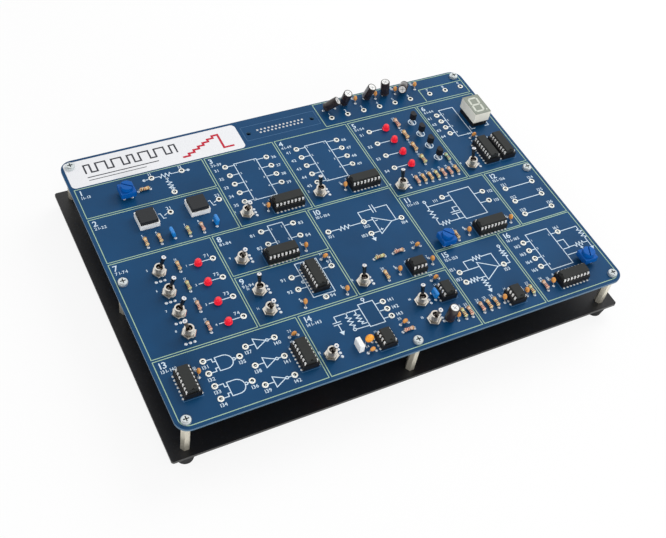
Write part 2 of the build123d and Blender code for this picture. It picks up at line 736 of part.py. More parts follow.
def display_socket():
    """The block under the display, with a hole for each pin."""
    base = block(DISPLAY_SOCKET_WIDTH, DISPLAY_SOCKET_DEPTH, 0, DISPLAY_SOCKET_HEIGHT)
    hole = drum(LEAD_RADIUS + THREAD_CLEARANCE, 0, DISPLAY_SOCKET_HEIGHT)
    return base - [Pos(x, y, 0) * hole for x, y in display_pin_places()]


def display_body():
    """The display's moulded block."""
    top = DISPLAY_SOCKET_HEIGHT + DISPLAY_HEIGHT
    body = block(DISPLAY_WIDTH, DISPLAY_DEPTH, DISPLAY_SOCKET_HEIGHT, top)
    return fillet(upright_edges(body), DISPLAY_FILLET)


def led_lens():
    """A domed lens with a rim at its foot."""
    lens = drum(LED_RADIUS, LED_LIFT, LED_LIFT + LED_HEIGHT - LED_RADIUS)
    lens += Pos(0, 0, LED_LIFT + LED_HEIGHT - LED_RADIUS) * Sphere(LED_RADIUS)
    return lens + drum(LED_RIM_RADIUS, LED_LIFT, LED_LIFT + LED_RIM_HEIGHT)


def led_leads():
    """The two leads of a diode."""
    lead = drum(LEAD_RADIUS, 0, LED_LIFT)
    return [Pos(side * PIN_PITCH / 2, 0, 0) * lead for side in (-1, 1)]


def transistor_body():
    """A round case with one flat side."""
    top = TRANSISTOR_LIFT + TRANSISTOR_HEIGHT
    case = drum(TRANSISTOR_RADIUS, TRANSISTOR_LIFT, top)
    cut = Pos(TRANSISTOR_FLAT + TRANSISTOR_RADIUS, 0, 0) * block(
        2 * TRANSISTOR_RADIUS, 2 * TRANSISTOR_RADIUS, TRANSISTOR_LIFT, top
    )
    return case - cut


def transistor_leads():
    """The three legs of a transistor."""
    leg = drum(LEAD_RADIUS, 0, TRANSISTOR_LIFT)
    return [Pos(0, n * TRANSISTOR_PITCH, 0) * leg for n in (-1, 0, 1)]


# Resistors


def resistor_body(height):
    """A coated body along X with fuller ends, its axis at a height over the board."""
    ends = []
    for side in (-1, 1):
        bead = Rot(0, 90, 0) * Cylinder(RESISTOR_END_RADIUS, RESISTOR_END_LENGTH)
        bead = fillet(bead.edges().filter_by(GeomType.CIRCLE), RESISTOR_FILLET)
        ends.append(Pos(side * (RESISTOR_LENGTH - RESISTOR_END_LENGTH) / 2, 0, 0) * bead)
    waist = Rot(0, 90, 0) * Cylinder(RESISTOR_WAIST_RADIUS, RESISTOR_LENGTH - RESISTOR_END_LENGTH)
    return Pos(0, 0, height) * (waist + ends[0] + ends[1])


def resistor_leads(height):
    """The two bent leads of a resistor."""
    pad = RESISTOR_PAD_SPACING / 2
    end = RESISTOR_LENGTH / 2
    leads = []
    for side in (-1, 1):
        points = [(side * end, 0, height), (side * pad, 0, height), (side * pad, 0, 0)]
        leads.append(bent_wire(points, LEAD_RADIUS))
    return leads


# Capacitors


def lead_pair(body, spacing, top_spacing, top):
    """Two leads that rise from their pads and run in to a body, cut flush with it."""
    leads = []
    for side in (-1, 1):
        pad = (0, side * spacing / 2)
        points = [(*pad, 0), (*pad, CAPACITOR_LEAD_RISE), (0, side * top_spacing / 2, top)]
        leads.append(bent_wire(points, LEAD_RADIUS) - body)
    return leads


def ceramic_body(lean):
    """A dipped disc that stands on its leads."""
    disc = Cylinder(CERAMIC_RADIUS, CERAMIC_THICKNESS)
    disc = fillet(disc.edges().filter_by(GeomType.CIRCLE), CERAMIC_FILLET)
    disc = Pos(0, 0, CERAMIC_CENTRE_HEIGHT) * Rot(0, 90, 0) * disc
    return Rot(0, lean, 0) * disc


def ceramic_leads(lean):
    """The leads of a dipped disc, up to its lower half."""
    body = ceramic_body(lean)
    leads = []
    inner = Rot(0, lean, 0) * Vertex(0, CERAMIC_RADIUS / 2, CERAMIC_CENTRE_HEIGHT - CERAMIC_RADIUS / 2)
    for side in (-1, 1):
        pad = (0, side * CAPACITOR_PAD_SPACING / 2)
        end = (inner.X, side * inner.Y, inner.Z)
        leads.append(bent_wire([(*pad, 0), (*pad, CAPACITOR_LEAD_RISE), end], LEAD_RADIUS) - body)
    return leads


def blue_body(lean):
    """A rounded block that leans on its leads."""
    body = block(BLUE_THICKNESS, BLUE_WIDTH, BLUE_LIFT, BLUE_LIFT + BLUE_HEIGHT)
    return Rot(0, lean, 0) * fillet(body.edges(), BLUE_FILLET)


def blue_leads(lean):
    """The leads of a blue capacitor, up to its lower part."""
    top = BLUE_LIFT + BLUE_HEIGHT / 4
    return lead_pair(blue_body(lean), CAPACITOR_PAD_SPACING, BLUE_WIDTH / 2, top)


def film_body():
    """A plain box that sits on the board."""
    body = block(FILM_THICKNESS, FILM_WIDTH, 0, FILM_HEIGHT)
    return fillet(upright_edges(body) + top_edges(body), FILM_FILLET)


def disc_body():
    """A thick dipped disc that stands on its leads."""
    disc = Cylinder(DISC_RADIUS, DISC_THICKNESS)
    disc = fillet(disc.edges().filter_by(GeomType.CIRCLE), CERAMIC_FILLET)
    return Pos(0, 0, DISC_CENTRE_HEIGHT) * Rot(90, 0, 0) * disc


def disc_leads():
    """The leads of the thick disc, apart along X."""
    turned = Rot(0, 0, 90) * disc_body()
    top = DISC_CENTRE_HEIGHT - DISC_RADIUS / 2
    leads = lead_pair(turned, CAPACITOR_PAD_SPACING, DISC_RADIUS, top)
    return [Rot(0, 0, -90) * lead for lead in leads]


def electrolytic_can():
    """A can on its base, with the groove that crimps its seal."""
    can = fillet(drum(CAN_RADIUS, 0, CAN_HEIGHT).edges().filter_by(GeomType.CIRCLE), CAN_FILLET)
    groove = Pos(0, 0, CAN_GROOVE_HEIGHT) * Torus(CAN_RADIUS, CAN_GROOVE_RADIUS)
    return can - groove


def electrolytics():
    """The cans where they lean, and their leads."""
    upright = electrolytic_can()
    cans = []
    leads = []
    for x, y, side_lean, back_lean, lift in ELECTROLYTICS:
        tilt = Rot(-back_lean, 0, 0) * Rot(0, side_lean, 0)
        can = Pos(0, 0, lift) * tilt * upright
        cans.append(Pos(x, y, BOARD_TOP) * can)
        for side in (-1, 1):
            foot = tilt * Vertex(side * CAN_LEAD_SPACING / 2, 0, 0)
            inner = tilt * Vertex(side * CAN_LEAD_SPACING / 2, 0, 1)
            pad = (side * CAN_LEAD_SPACING / 2, 0)
            points = [(*pad, 0), (*pad, CAPACITOR_LEAD_RISE), (foot.X, foot.Y, foot.Z + lift)]
            points.append((inner.X, inner.Y, inner.Z + lift))
            lead = bent_wire(points, LEAD_RADIUS) - can
            leads.append(Pos(x, y, BOARD_TOP) * lead)
    return cans, leads


# Rear connector


def connector_pins():
    """Each way's place across the connector and its row, 0 above and 1 below."""
    ways = []
    for tier, count in ((0, 13), (1, 12)):
        left = -(count - 1) * CONNECTOR_PITCH / 2
        ways += [(left + n * CONNECTOR_PITCH, tier) for n in range(count)]
    return ways


def way_height(tier):
    """The height of a row of ways."""
    return BOARD_BOTTOM - CONNECTOR_DROP + (0.5 - tier) * CONNECTOR_ROW_SPACING


def d_outline(width, height, radius):
    """A rounded outline, narrower below, in the plane that faces the back."""
    half = width / 2
    narrow = half - height * tan(radians(SHELL_SLOPE))
    low, high = -height / 2, height / 2
    outline = Polygon((-narrow, low), (narrow, low), (half, high), (-half, high), align=None)
    return fillet(outline.vertices(), radius)


def facing_back(outline, start, depth):
    """An outline drawn in X and Z, extruded to the back from a place on Y."""
    solid = extrude(outline, depth)
    return Pos(0, start, CONNECTOR_CENTRE) * Rot(-90, 0, 0) * mirror(solid, Plane.XZ)


def connector_shell():
    """The flange and the D-shaped shell in front of it."""
    plate = RectangleRounded(FLANGE_WIDTH, FLANGE_HEIGHT, FLANGE_CORNER_RADIUS)
    outer = d_outline(SHELL_WIDTH, SHELL_HEIGHT, SHELL_CORNER_RADIUS)
    walls = 2 * SHELL_WALL
    inner = d_outline(SHELL_WIDTH - walls, SHELL_HEIGHT - walls, SHELL_CORNER_RADIUS - SHELL_WALL)
    screws = [
        Pos(side * CONNECTOR_SCREW_SPACING / 2, 0) * Circle(JACKSCREW_SHANK_RADIUS + HOLE_CLEARANCE)
        for side in (-1, 1)
    ]
    flange = facing_back(plate - inner - screws, FLANGE_BACK, FLANGE_THICKNESS)
    shell = facing_back(outer - inner, FLANGE_BACK + FLANGE_THICKNESS, SHELL_REACH)
    return flange + shell


def connector_insulator():
    """The block behind the flange, its nose inside the shell and the two ears that meet the board."""
    walls = 2 * SHELL_WALL + HOLE_CLEARANCE
    nose = d_outline(SHELL_WIDTH - walls, SHELL_HEIGHT - walls, SHELL_CORNER_RADIUS - SHELL_WALL)
    holes = [
        Pos(x, way_height(tier) - CONNECTOR_CENTRE) * Circle(CONTACT_HOLE_RADIUS)
        for x, tier in connector_pins()
    ]
    block_width = CONNECTOR_SCREW_SPACING - EAR_WIDTH
    body = Rectangle(block_width, CONNECTOR_BLOCK_HEIGHT)
    block_front = FLANGE_BACK - CONNECTOR_BLOCK_DEPTH
    insulator = facing_back(body - holes, block_front, CONNECTOR_BLOCK_DEPTH)
    nose_depth = FLANGE_THICKNESS + SHELL_REACH - SHELL_WALL
    insulator += facing_back(nose - holes, FLANGE_BACK, nose_depth)
    ear_depth = 2 * (FLANGE_BACK - CONNECTOR_Y)
    ear_low = CONNECTOR_CENTRE - CONNECTOR_BLOCK_HEIGHT / 2
    for side in (-1, 1):
        ear = block(EAR_WIDTH, ear_depth, ear_low, BOARD_BOTTOM)
        ear -= drum(EAR_HOLE_RADIUS, BOARD_BOTTOM - EAR_HOLE_DEPTH, BOARD_BOTTOM)
        insulator += Pos(side * CONNECTOR_SCREW_SPACING / 2, CONNECTOR_Y, 0) * ear
    for side in (-1, 1):
        x = side * CONNECTOR_SCREW_SPACING / 2
        start = (x, FLANGE_BACK - JACKSCREW_SHANK_LENGTH, CONNECTOR_CENTRE)
        end = (x, FLANGE_BACK, CONNECTOR_CENTRE)
        insulator -= rod(start, end, JACKSCREW_SHANK_RADIUS + THREAD_CLEARANCE)
    return insulator


def connector_contacts():
    """The bent contacts from inside the nose up to the board."""
    front = FLANGE_BACK + FLANGE_THICKNESS + SHELL_REACH - CONNECTOR_PIN_INSET
    contacts = []
    for x, tier in connector_pins():
        height = way_height(tier)
        tail_y = CONNECTOR_Y + (0.5 - tier) * CONNECTOR_TAIL_SPACING
        points = [(x, front, height), (x, tail_y, height), (x, tail_y, BOARD_BOTTOM)]
        contacts.append(bent_wire(points, CONNECTOR_PIN_RADIUS))
    return contacts


def jackscrew():
    """A hexagonal screw post with a threaded bore in its free end, pointing along +Z."""
    bar = hexagon(JACKSCREW_ACROSS_FLATS, 0, JACKSCREW_LENGTH)
    bar -= drum(JACKSCREW_BORE_RADIUS, JACKSCREW_LENGTH - JACKSCREW_BORE_DEPTH, JACKSCREW_LENGTH)
    return bar + drum(JACKSCREW_SHANK_RADIUS, -FLANGE_THICKNESS - JACKSCREW_SHANK_LENGTH, 0)


def connector_jackscrews():
    """The two screw posts on the flange."""
    y = FLANGE_BACK + FLANGE_THICKNESS
    return [
        Pos(side * CONNECTOR_SCREW_SPACING / 2, y, CONNECTOR_CENTRE) * Rot(-90, 0, 0) * jackscrew()
        for side in (-1, 1)
    ]


# Writing the pieces


def save_structure():
    """The board, its base and its fasteners."""
    save("circuit_board", [circuit_board()])
    save("base_plate", [base_plate()])
    save("rubber_feet", [Pos(x, y, 0) * rubber_foot() for x, y in CORNER_POSTS])
    save("standoffs", [Pos(x, y, 0) * post() for x, y in CORNER_POSTS + EDGE_POSTS])
    save("board_screws", on_board(pan_screw(BOARD_THICKNESS), CORNER_POSTS + EDGE_POSTS))
    save("base_screws", base_screws())
    save("test_jacks", on_board(test_jack(), JACKS))


def save_controls():
    """The toggles, push buttons and trimmers."""
    cases, bushings, nuts, terminals = [], [], [], []
    for number, (x, y, turn, lean, shift) in enumerate(TOGGLES, 1):
        place = [(x, y)]
        cases += on_board(toggle_housing(), place, turn)
        bushings += on_board(toggle_bushing(), place, turn)
        nuts += on_board(toggle_nut(), place, turn)
        for terminal in toggle_terminals(shift):
            terminals += on_board(terminal, place, turn)
        save(f"toggle_lever_{number}", on_board(toggle_lever(lean), place, turn))
    save("toggle_housings", cases)
    save("toggle_bushings", bushings)
    save("toggle_nuts", nuts)
    save("toggle_terminals", terminals)
    save("button_cases", on_board(button_case(), BUTTONS))
    save("button_domes", on_board(button_dome(), BUTTONS))
    save("button_pins", [copy for pin in button_pins() for copy in on_board(pin, BUTTONS)])
    for number, place in enumerate(BUTTONS, 1):
        save(f"button_cap_{number}", on_board(button_cap(), [place]))
    trimmer_places = [trimmer[:2] for trimmer in TRIMMERS]
    save("trimmer_bodies", on_board(trimmer_body(), trimmer_places))
    save("trimmer_pins", [copy for pin in trimmer_pins() for copy in on_board(pin, trimmer_places)])
    for number, (x, y, slot) in enumerate(TRIMMERS, 1):
        save(f"trimmer_knob_{number}", on_board(trimmer_knob(), [(x, y)], slot))


def save_parts_on_leads():
    """The integrated circuits, display, diodes, transistors, resistors and capacitors."""
    save("chip_sockets", all_chips(chip_socket))
    save("socket_contacts", all_chips(socket_contacts))
    save("chip_bodies", all_chips(chip_body))
    save("chip_leads", all_chips(chip_leads))
    save("display_socket", on_board(display_socket(), DISPLAY))
    save("display_body", on_board(display_body(), DISPLAY))
    save("display_pins", [copy for pin in display_pins() for copy in on_board(pin, DISPLAY)])
    save("led_lenses", on_board(led_lens(), LEDS))
    save("led_leads", [copy for lead in led_leads() for copy in on_board(lead, LEDS)])
    save("transistor_bodies", on_board(transistor_body(), TRANSISTORS))
    save("transistor_leads", [copy for leg in transistor_leads() for copy in on_board(leg, TRANSISTORS)])
    save_resistors()
    save_capacitors()


def save_resistors():
    """The resistors in their three groups."""
    groups = [
        (RESISTORS_ALONG_X, RESISTOR_AXIS_HEIGHT, 0),
        (RESISTORS_ALONG_Y, RESISTOR_AXIS_HEIGHT, 90),
        (RAISED_RESISTORS, RAISED_RESISTOR_AXIS_HEIGHT, 90),
    ]
    bodies, leads = [], []
    for places, height, turn in groups:
        bodies += on_board(resistor_body(height), places, turn)
        for lead in resistor_leads(height):
            leads += on_board(lead, places, turn)
    save("resistor_bodies", bodies)
    save("resistor_leads", leads)


def save_capacitors():
    """The capacitors of every kind and their leads."""
    cans, leads = electrolytics()
    ceramics = []
    for places, lean, turn in ((CERAMICS_ALONG_Y, CERAMIC_LEAN, 0), (CERAMICS_ALONG_X, 0, 90)):
        ceramics += on_board(ceramic_body(lean), places, turn)
        for lead in ceramic_leads(lean):
            leads += on_board(lead, places, turn)
    blues = []
    for x, y, lean in BLUE_CAPACITORS:
        blues += on_board(blue_body(lean), [(x, y)])
        for lead in blue_leads(lean):
            leads += on_board(lead, [(x, y)])
    for lead in disc_leads():
        leads += on_board(lead, DISC_CAPACITOR)
    save("electrolytic_cans", cans)
    save("ceramic_capacitors", ceramics)
    save("blue_capacitors", blues)
    save("film_capacitor", on_board(film_body(), FILM_CAPACITOR))
    save("disc_capacitor", on_board(disc_body(), DISC_CAPACITOR))
    save("capacitor_leads", leads)


def save_connector():
    """The rear connector."""
    save("connector_shell", [connector_shell()])
    save("connector_insulator", [connector_insulator()])
    save("connector_contacts", connector_contacts())
    save("connector_jackscrews", connector_jackscrews())


os.makedirs("parts", exist_ok=True)
save_structure()
save_controls()
save_parts_on_leads()
save_connector()
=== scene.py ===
import json
import math
from functools import partialmethod

import bmesh
import bpy
from mathutils import Matrix, Vector


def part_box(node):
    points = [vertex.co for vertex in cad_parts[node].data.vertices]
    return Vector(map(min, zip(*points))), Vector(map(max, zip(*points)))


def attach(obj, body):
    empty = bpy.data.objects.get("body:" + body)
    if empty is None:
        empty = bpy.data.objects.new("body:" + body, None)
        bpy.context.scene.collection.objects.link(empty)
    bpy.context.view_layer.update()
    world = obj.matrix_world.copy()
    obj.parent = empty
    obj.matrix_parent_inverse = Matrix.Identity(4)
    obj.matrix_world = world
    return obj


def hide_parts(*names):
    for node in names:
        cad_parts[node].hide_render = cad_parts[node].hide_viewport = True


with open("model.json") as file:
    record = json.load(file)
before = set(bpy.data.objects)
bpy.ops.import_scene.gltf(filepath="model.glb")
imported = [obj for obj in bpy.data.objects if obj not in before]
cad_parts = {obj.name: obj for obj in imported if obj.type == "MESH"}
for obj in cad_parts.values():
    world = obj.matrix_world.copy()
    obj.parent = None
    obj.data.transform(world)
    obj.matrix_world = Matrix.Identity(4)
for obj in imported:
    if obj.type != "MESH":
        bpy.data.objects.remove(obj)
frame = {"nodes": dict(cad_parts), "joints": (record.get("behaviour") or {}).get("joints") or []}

bl_info = {
    "name": "Digital electronics training module",
    "version": (1, 0, 0),
    "blender": (4, 5, 0),
    "location": "View3D > Sidebar > Training module",
    "description": "Finishes and printed circuits of a digital electronics training module",
    "category": "Object",
}

MM = 0.001
NODES = frame["nodes"]
JOINTS = {joint["name"]: joint for joint in frame["joints"]}
MODULE = "module"
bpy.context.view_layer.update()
TOGGLE_COUNT = sum(name.startswith("toggle_lever") for name in NODES)


def top_of(node):
    """The height of a node's highest point, in millimetres."""
    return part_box(node)[1][2] / MM


BOARD_TOP = top_of("circuit_board")
BOARD_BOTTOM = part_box("circuit_board")[0][2] / MM


def rgb(red, green, blue):
    """A colour on the screen's scale of 0 to 255, as the renderer's linear numbers."""
    def linear(value):
        share = value / 255
        return share / 12.92 if share <= 0.04045 else ((share + 0.055) / 1.055) ** 2.4

    return (linear(red), linear(green), linear(blue))


# What a user may change


def colour_choice(name, description, default):
    """A colour that a user may set."""
    return bpy.props.FloatVectorProperty(
        name=name, description=description, default=default, subtype="COLOR", size=3, min=0.0, max=1.0
    )


def length_choice(name, description, default):
    """A length in metres that a user may set."""
    return bpy.props.FloatProperty(
        name=name, description=description, default=default, min=0.0, unit="LENGTH", subtype="DISTANCE"
    )


class ModuleColours(bpy.types.PropertyGroup):
    mask: colour_choice("Solder mask", "Blue coating of the board", rgb(12, 64, 104))
    edge: colour_choice("Board edge", "Cut edge of the board", rgb(74, 104, 128))
    print: colour_choice("Print", "Pale ink of the circuits", rgb(214, 232, 246))
    border: colour_choice("Border", "Ink of the circuit borders", rgb(170, 200, 172))
    label: colour_choice("Label", "White printed panel", rgb(240, 241, 244))
    base: colour_choice("Base plate", "Glossy black sheet", rgb(20, 20, 22))
    jack: colour_choice("Jacks", "Pale ring of the test jacks", rgb(248, 248, 240))
    trimmer: colour_choice("Trimmers", "Blue moulding of the trimmers", rgb(2, 86, 166))
    cap: colour_choice("Button caps", "Charcoal moulding", rgb(26, 29, 33))
    lamp: colour_choice("Diodes", "Red resin of the diodes", rgb(224, 26, 46))


class ModuleSizes(bpy.types.PropertyGroup):
    print_width: length_choice("Print width", "Width of a printed line", 0.00055)
    border_width: length_choice("Border width", "Width of a border line", 0.0005)
    ink_height: length_choice("Ink height", "Thickness of the ink", 0.00003)
    outline_width: length_choice("Outline width", "Width of the outline around a socket", 0.0003)
    solder_radius: length_choice("Solder radius", "Radius of a soldered pad", 0.00095)
    solder_height: length_choice("Solder height", "Height of the solder at a lead", 0.0007)


# Shader arithmetic and materials


class Value:
    """A number on a shader socket that takes part in Python arithmetic."""

    def __init__(self, nodes, socket):
        self.nodes = nodes
        self.socket = socket

    def math(self, operation, *others):
        node = self.nodes.node("ShaderNodeMath", dict(enumerate((self, *others))), operation=operation)
        return Value(self.nodes, node.outputs[0])

    __add__ = __radd__ = partialmethod(math, "ADD")
    __sub__ = partialmethod(math, "SUBTRACT")
    __mul__ = partialmethod(math, "MULTIPLY")
    __gt__ = partialmethod(math, "GREATER_THAN")
    __lt__ = partialmethod(math, "LESS_THAN")
    __abs__ = partialmethod(math, "ABSOLUTE")


class Nodes:
    """The shader nodes of a material or of the world."""

    def __init__(self, tree):
        self.tree = tree

    def plug(self, socket, value):
        """Links a value to a socket, or sets the socket to a constant."""
        if isinstance(value, Value):
            self.tree.links.new(value.socket, socket)
        elif hasattr(value, "__len__") and len(value) == 3 and socket.type == "RGBA":
            socket.default_value = (*value, 1.0)
        else:
            socket.default_value = value

    def node(self, kind, sockets=None, **settings):
        """A node of a type with its settings made first and its sockets filled by name or number."""
        node = self.tree.nodes.new(kind)
        for name, value in settings.items():
            setattr(node, name, value)
        for name, value in (sockets or {}).items():
            self.plug(node.inputs[name], value)
        return node

    def read(self, kind, output, sockets=None, **settings):
        """One output of a new node."""
        return Value(self, self.node(kind, sockets, **settings).outputs[output])


class Finish(Nodes):
    """A material while its nodes are put together."""

    def __init__(self, name, **constants):
        self.material = bpy.data.materials.new(name)
        self.material.use_nodes = True
        super().__init__(self.material.node_tree)
        self.shader = self.tree.nodes["Principled BSDF"]
        self.set(**constants)

    def set(self, **values):
        """Sets shader sockets by name, with _ for each space."""
        for name, value in values.items():
            self.plug(self.shader.inputs[name.replace("_", " ")], value)
        return self

    def upward(self, kind, output):
        """The Z of what a node says about the point."""
        return self.read("ShaderNodeSeparateXYZ", "Z", {0: self.read(kind, output)})

    def height(self):
        """The height of the point on the piece, in millimetres."""
        return self.upward("ShaderNodeTexCoord", "Object") * (1 / MM)

    def facing_up(self):
        """How far the surface faces up, from -1 to 1."""
        return self.upward("ShaderNodeNewGeometry", "Normal")

    def noise(self, size_mm, detail=2.0, roughness=0.5):
        """Cloudy variation from 0 to 1 at a size in millimetres."""
        point = self.read("ShaderNodeTexCoord", "Object")
        sockets = {"Vector": point, "Scale": 1 / (size_mm * MM), "Detail": detail, "Roughness": roughness}
        return self.read("ShaderNodeTexNoise", "Fac", sockets)

    def attribute(self, name):
        """A number that the piece's points carry."""
        return self.read("ShaderNodeAttribute", "Fac", attribute_name=name)

    def mix(self, share, first, second):
        """A colour between two, by a share from 0 to 1."""
        return self.read("ShaderNodeMix", 2, {0: share, 6: first, 7: second}, data_type="RGBA")

    def relief(self, height, depth_mm, strength):
        """Bumps from a height of 0 to 1, as deep as given."""
        sockets = {"Strength": strength, "Distance": depth_mm * MM, "Height": height}
        return self.set(Normal=self.read("ShaderNodeBump", "Normal", sockets))


def sizes():
    return bpy.context.scene.module_sizes


def chosen(colour):
    """A colour that a user may set, by its name, or one given on the screen's scale."""
    if isinstance(colour, str):
        return tuple(getattr(bpy.context.scene.module_colours, colour))
    return rgb(*colour)


def shade(colour, factor):
    """A colour made lighter or darker."""
    return tuple(min(1.0, part * factor) for part in colour)


def board_mask(name):
    """Blue mask over copper and glass fibre, with the paler cut edge."""
    finish = Finish(name, Specular_IOR_Level=0.22)
    mask = chosen("mask")
    cloud = finish.noise(38.0, 3.0) - 0.5
    weave = finish.noise(1.1)
    coat = finish.mix(cloud * 1.6 + 0.5, shade(mask, 0.8), shade(mask, 1.2))
    flat = abs(finish.facing_up()) > 0.5
    finish.set(Base_Color=finish.mix(flat, chosen("edge"), coat), Roughness=0.3 + weave * 0.1)
    return finish.relief(weave, 0.03, 0.35)


def base_sheet(name):
    """Glossy black sheet with dust, and with greyer sawn edges."""
    finish = Finish(name, Specular_IOR_Level=0.5)
    dust = finish.noise(0.9, 4.0, 0.7)
    cloud = finish.noise(45.0, 3.0)
    worn = finish.mix((dust > 0.62) * 0.4, chosen("base"), rgb(66, 65, 63))
    side = abs(finish.facing_up()) < 0.5
    finish.set(Base_Color=finish.mix(side, worn, rgb(54, 54, 53)), Roughness=0.34 + cloud * 0.16)
    return finish.relief(dust, 0.01, 0.2)


def rubber(name):
    """Matt black rubber with a fine moulded grain."""
    finish = Finish(name, Roughness=0.75)
    grain = finish.noise(0.5, 3.0)
    finish.set(Base_Color=finish.mix(grain, rgb(16, 16, 17), rgb(34, 34, 35)))
    return finish.relief(grain, 0.05, 0.6)


def post_plating(name):
    """Paler plating of the posts, dulled by handling."""
    finish = Finish(name, Roughness=0.32, Metallic=0.8)
    plating = rgb(236, 230, 212)
    return finish.set(Base_Color=finish.mix(finish.noise(4.0), shade(plating, 0.9), plating))


def cross_screw(name):
    """Zinc with the shade that lies in the cross slot."""
    finish = Finish(name, Metallic=0.7)
    z = finish.height()
    up = finish.facing_up()
    walls = (abs(up) < 0.05) * (z > BOARD_TOP + 1.25)
    floor = (up > 0.95) * (z < BOARD_TOP + 1.3) * (z > BOARD_TOP + 1.1)
    cloud = finish.noise(1.2, 3.0)
    bright = finish.mix(cloud, rgb(190, 198, 200), rgb(236, 242, 242))
    finish.set(Base_Color=finish.mix(walls + floor, bright, rgb(96, 106, 108)))
    return finish.set(Roughness=0.28 + cloud * 0.14)


def jack_ring(name):
    """Pale tinned ring of a jack."""
    finish = Finish(name, Roughness=0.36, Metallic=0.1)
    pale = chosen("jack")
    return finish.set(Base_Color=finish.mix(finish.noise(1.4), shade(pale, 0.9), pale))


# Half the width of a resistor's band, in millimetres
HALF_BAND = 0.26


def resistor_lacquer(name):
    """Lacquer in four colours, with four bands in two sets of colours."""
    finish = Finish(name, Coat_Weight=0.3, Coat_Roughness=0.1)
    along = finish.attribute("along")
    kind = finish.attribute("kind")
    cloud = finish.noise(1.5)
    sand = finish.mix(cloud, rgb(206, 172, 118), rgb(232, 208, 164))
    rose = finish.mix(cloud, rgb(200, 160, 134), rgb(232, 202, 180))
    straw = finish.mix(cloud, rgb(186, 186, 128), rgb(220, 220, 172))
    green = finish.mix(cloud, rgb(150, 190, 150), rgb(190, 222, 184))
    other = kind > 0.5
    paint = finish.mix(kind > 1.5, finish.mix(other, sand, rose), straw)
    paint = finish.mix(kind > 2.5, paint, green)
    bands = [
        (-2.25, finish.mix(other, rgb(112, 50, 24), rgb(150, 40, 30))),
        (-0.95, finish.mix(other, rgb(46, 36, 34), rgb(150, 44, 34))),
        (0.05, finish.mix(other, rgb(186, 92, 32), rgb(96, 52, 34))),
        (2.25, rgb(162, 112, 44)),
    ]
    for centre, colour in bands:
        paint = finish.mix(abs(along - centre) < HALF_BAND, paint, colour)
    finish.set(Base_Color=paint, Roughness=0.3 + cloud * 0.12)
    return finish.relief(cloud, 0.04, 0.4)


def can_sleeve(name):
    """Dark shrink sleeve with one pale stripe down its side."""
    finish = Finish(name, Coat_Weight=0.2)
    cloud = finish.noise(2.5)
    dark = finish.mix(cloud, rgb(24, 18, 20), rgb(52, 42, 42))
    finish.set(Base_Color=finish.mix(finish.attribute("stripe") > 0.5, dark, rgb(112, 112, 116)))
    return finish.set(Roughness=0.24 + cloud * 0.1)


def lens(name):
    """Red clear resin with a faint painted glow, though the diode is not lit."""
    red = chosen("lamp")
    # Painted glow: a weak emission in the resin's own red
    finish = Finish(name, Roughness=0.12, Coat_Weight=0.5, Emission_Strength=0.3, Emission_Color=red)
    return finish.set(Base_Color=finish.mix(finish.noise(1.0, 1.0), shade(red, 0.8), shade(red, 1.15)))


def display_moulding(name):
    """Pale moulding with a warm grey front."""
    finish = Finish(name)
    cloud = finish.noise(3.0)
    front = finish.height() > top_of("display_body") - 0.16
    side = finish.mix(cloud, rgb(238, 236, 222), rgb(248, 246, 234))
    face = finish.mix(cloud, rgb(130, 136, 125), rgb(142, 148, 137))
    return finish.set(Base_Color=finish.mix(front, side, face), Roughness=0.42 + cloud * 0.1)


def metal(name, colour, roughness, tarnish, size_mm=1.2, metallic=1.0):
    """Plated metal with a slightly uneven sheen."""
    finish = Finish(name, Metallic=metallic)
    colour = rgb(*colour)
    cloud = finish.noise(size_mm, 3.0)
    finish.set(Base_Color=finish.mix(cloud, shade(colour, 1.0 - tarnish), colour))
    return finish.set(Roughness=roughness + cloud * 0.14)


def moulding(name, colour, roughness, grain_mm=0.4, depth_mm=0.02, specular=0.5):
    """Moulded plastic with a fine grain and slight unevenness of colour."""
    finish = Finish(name, Specular_IOR_Level=specular)
    colour = chosen(colour)
    grain = finish.noise(grain_mm, 3.0)
    finish.set(Base_Color=finish.mix(finish.noise(4.0), shade(colour, 0.86), shade(colour, 1.1)))
    finish.set(Roughness=roughness + grain * 0.12)
    return finish.relief(grain, depth_mm, 0.5)


def dip(name, light, dark):
    """Dipped resin, glossy, darker in its lowest 2 mm over the board."""
    finish = Finish(name, Roughness=0.26, Coat_Weight=0.4, Coat_Roughness=0.08)
    light, dark = rgb(*light), rgb(*dark)
    cloud = finish.noise(1.6)
    low = (finish.height() - BOARD_TOP) < 2.0
    finish.set(Base_Color=finish.mix(low * 0.45, finish.mix(cloud, dark, light), dark))
    return finish.relief(cloud, 0.08, 0.4)


def ink(name, colour):
    """Printed ink, slightly thin in places."""
    finish = Finish(name, Specular_IOR_Level=0.3)
    colour = chosen(colour)
    wear = finish.noise(0.5, 3.0, 0.6)
    finish.set(Base_Color=finish.mix(wear, shade(colour, 0.78), shade(colour, 1.08)))
    return finish.set(Roughness=0.5 + wear * 0.2)


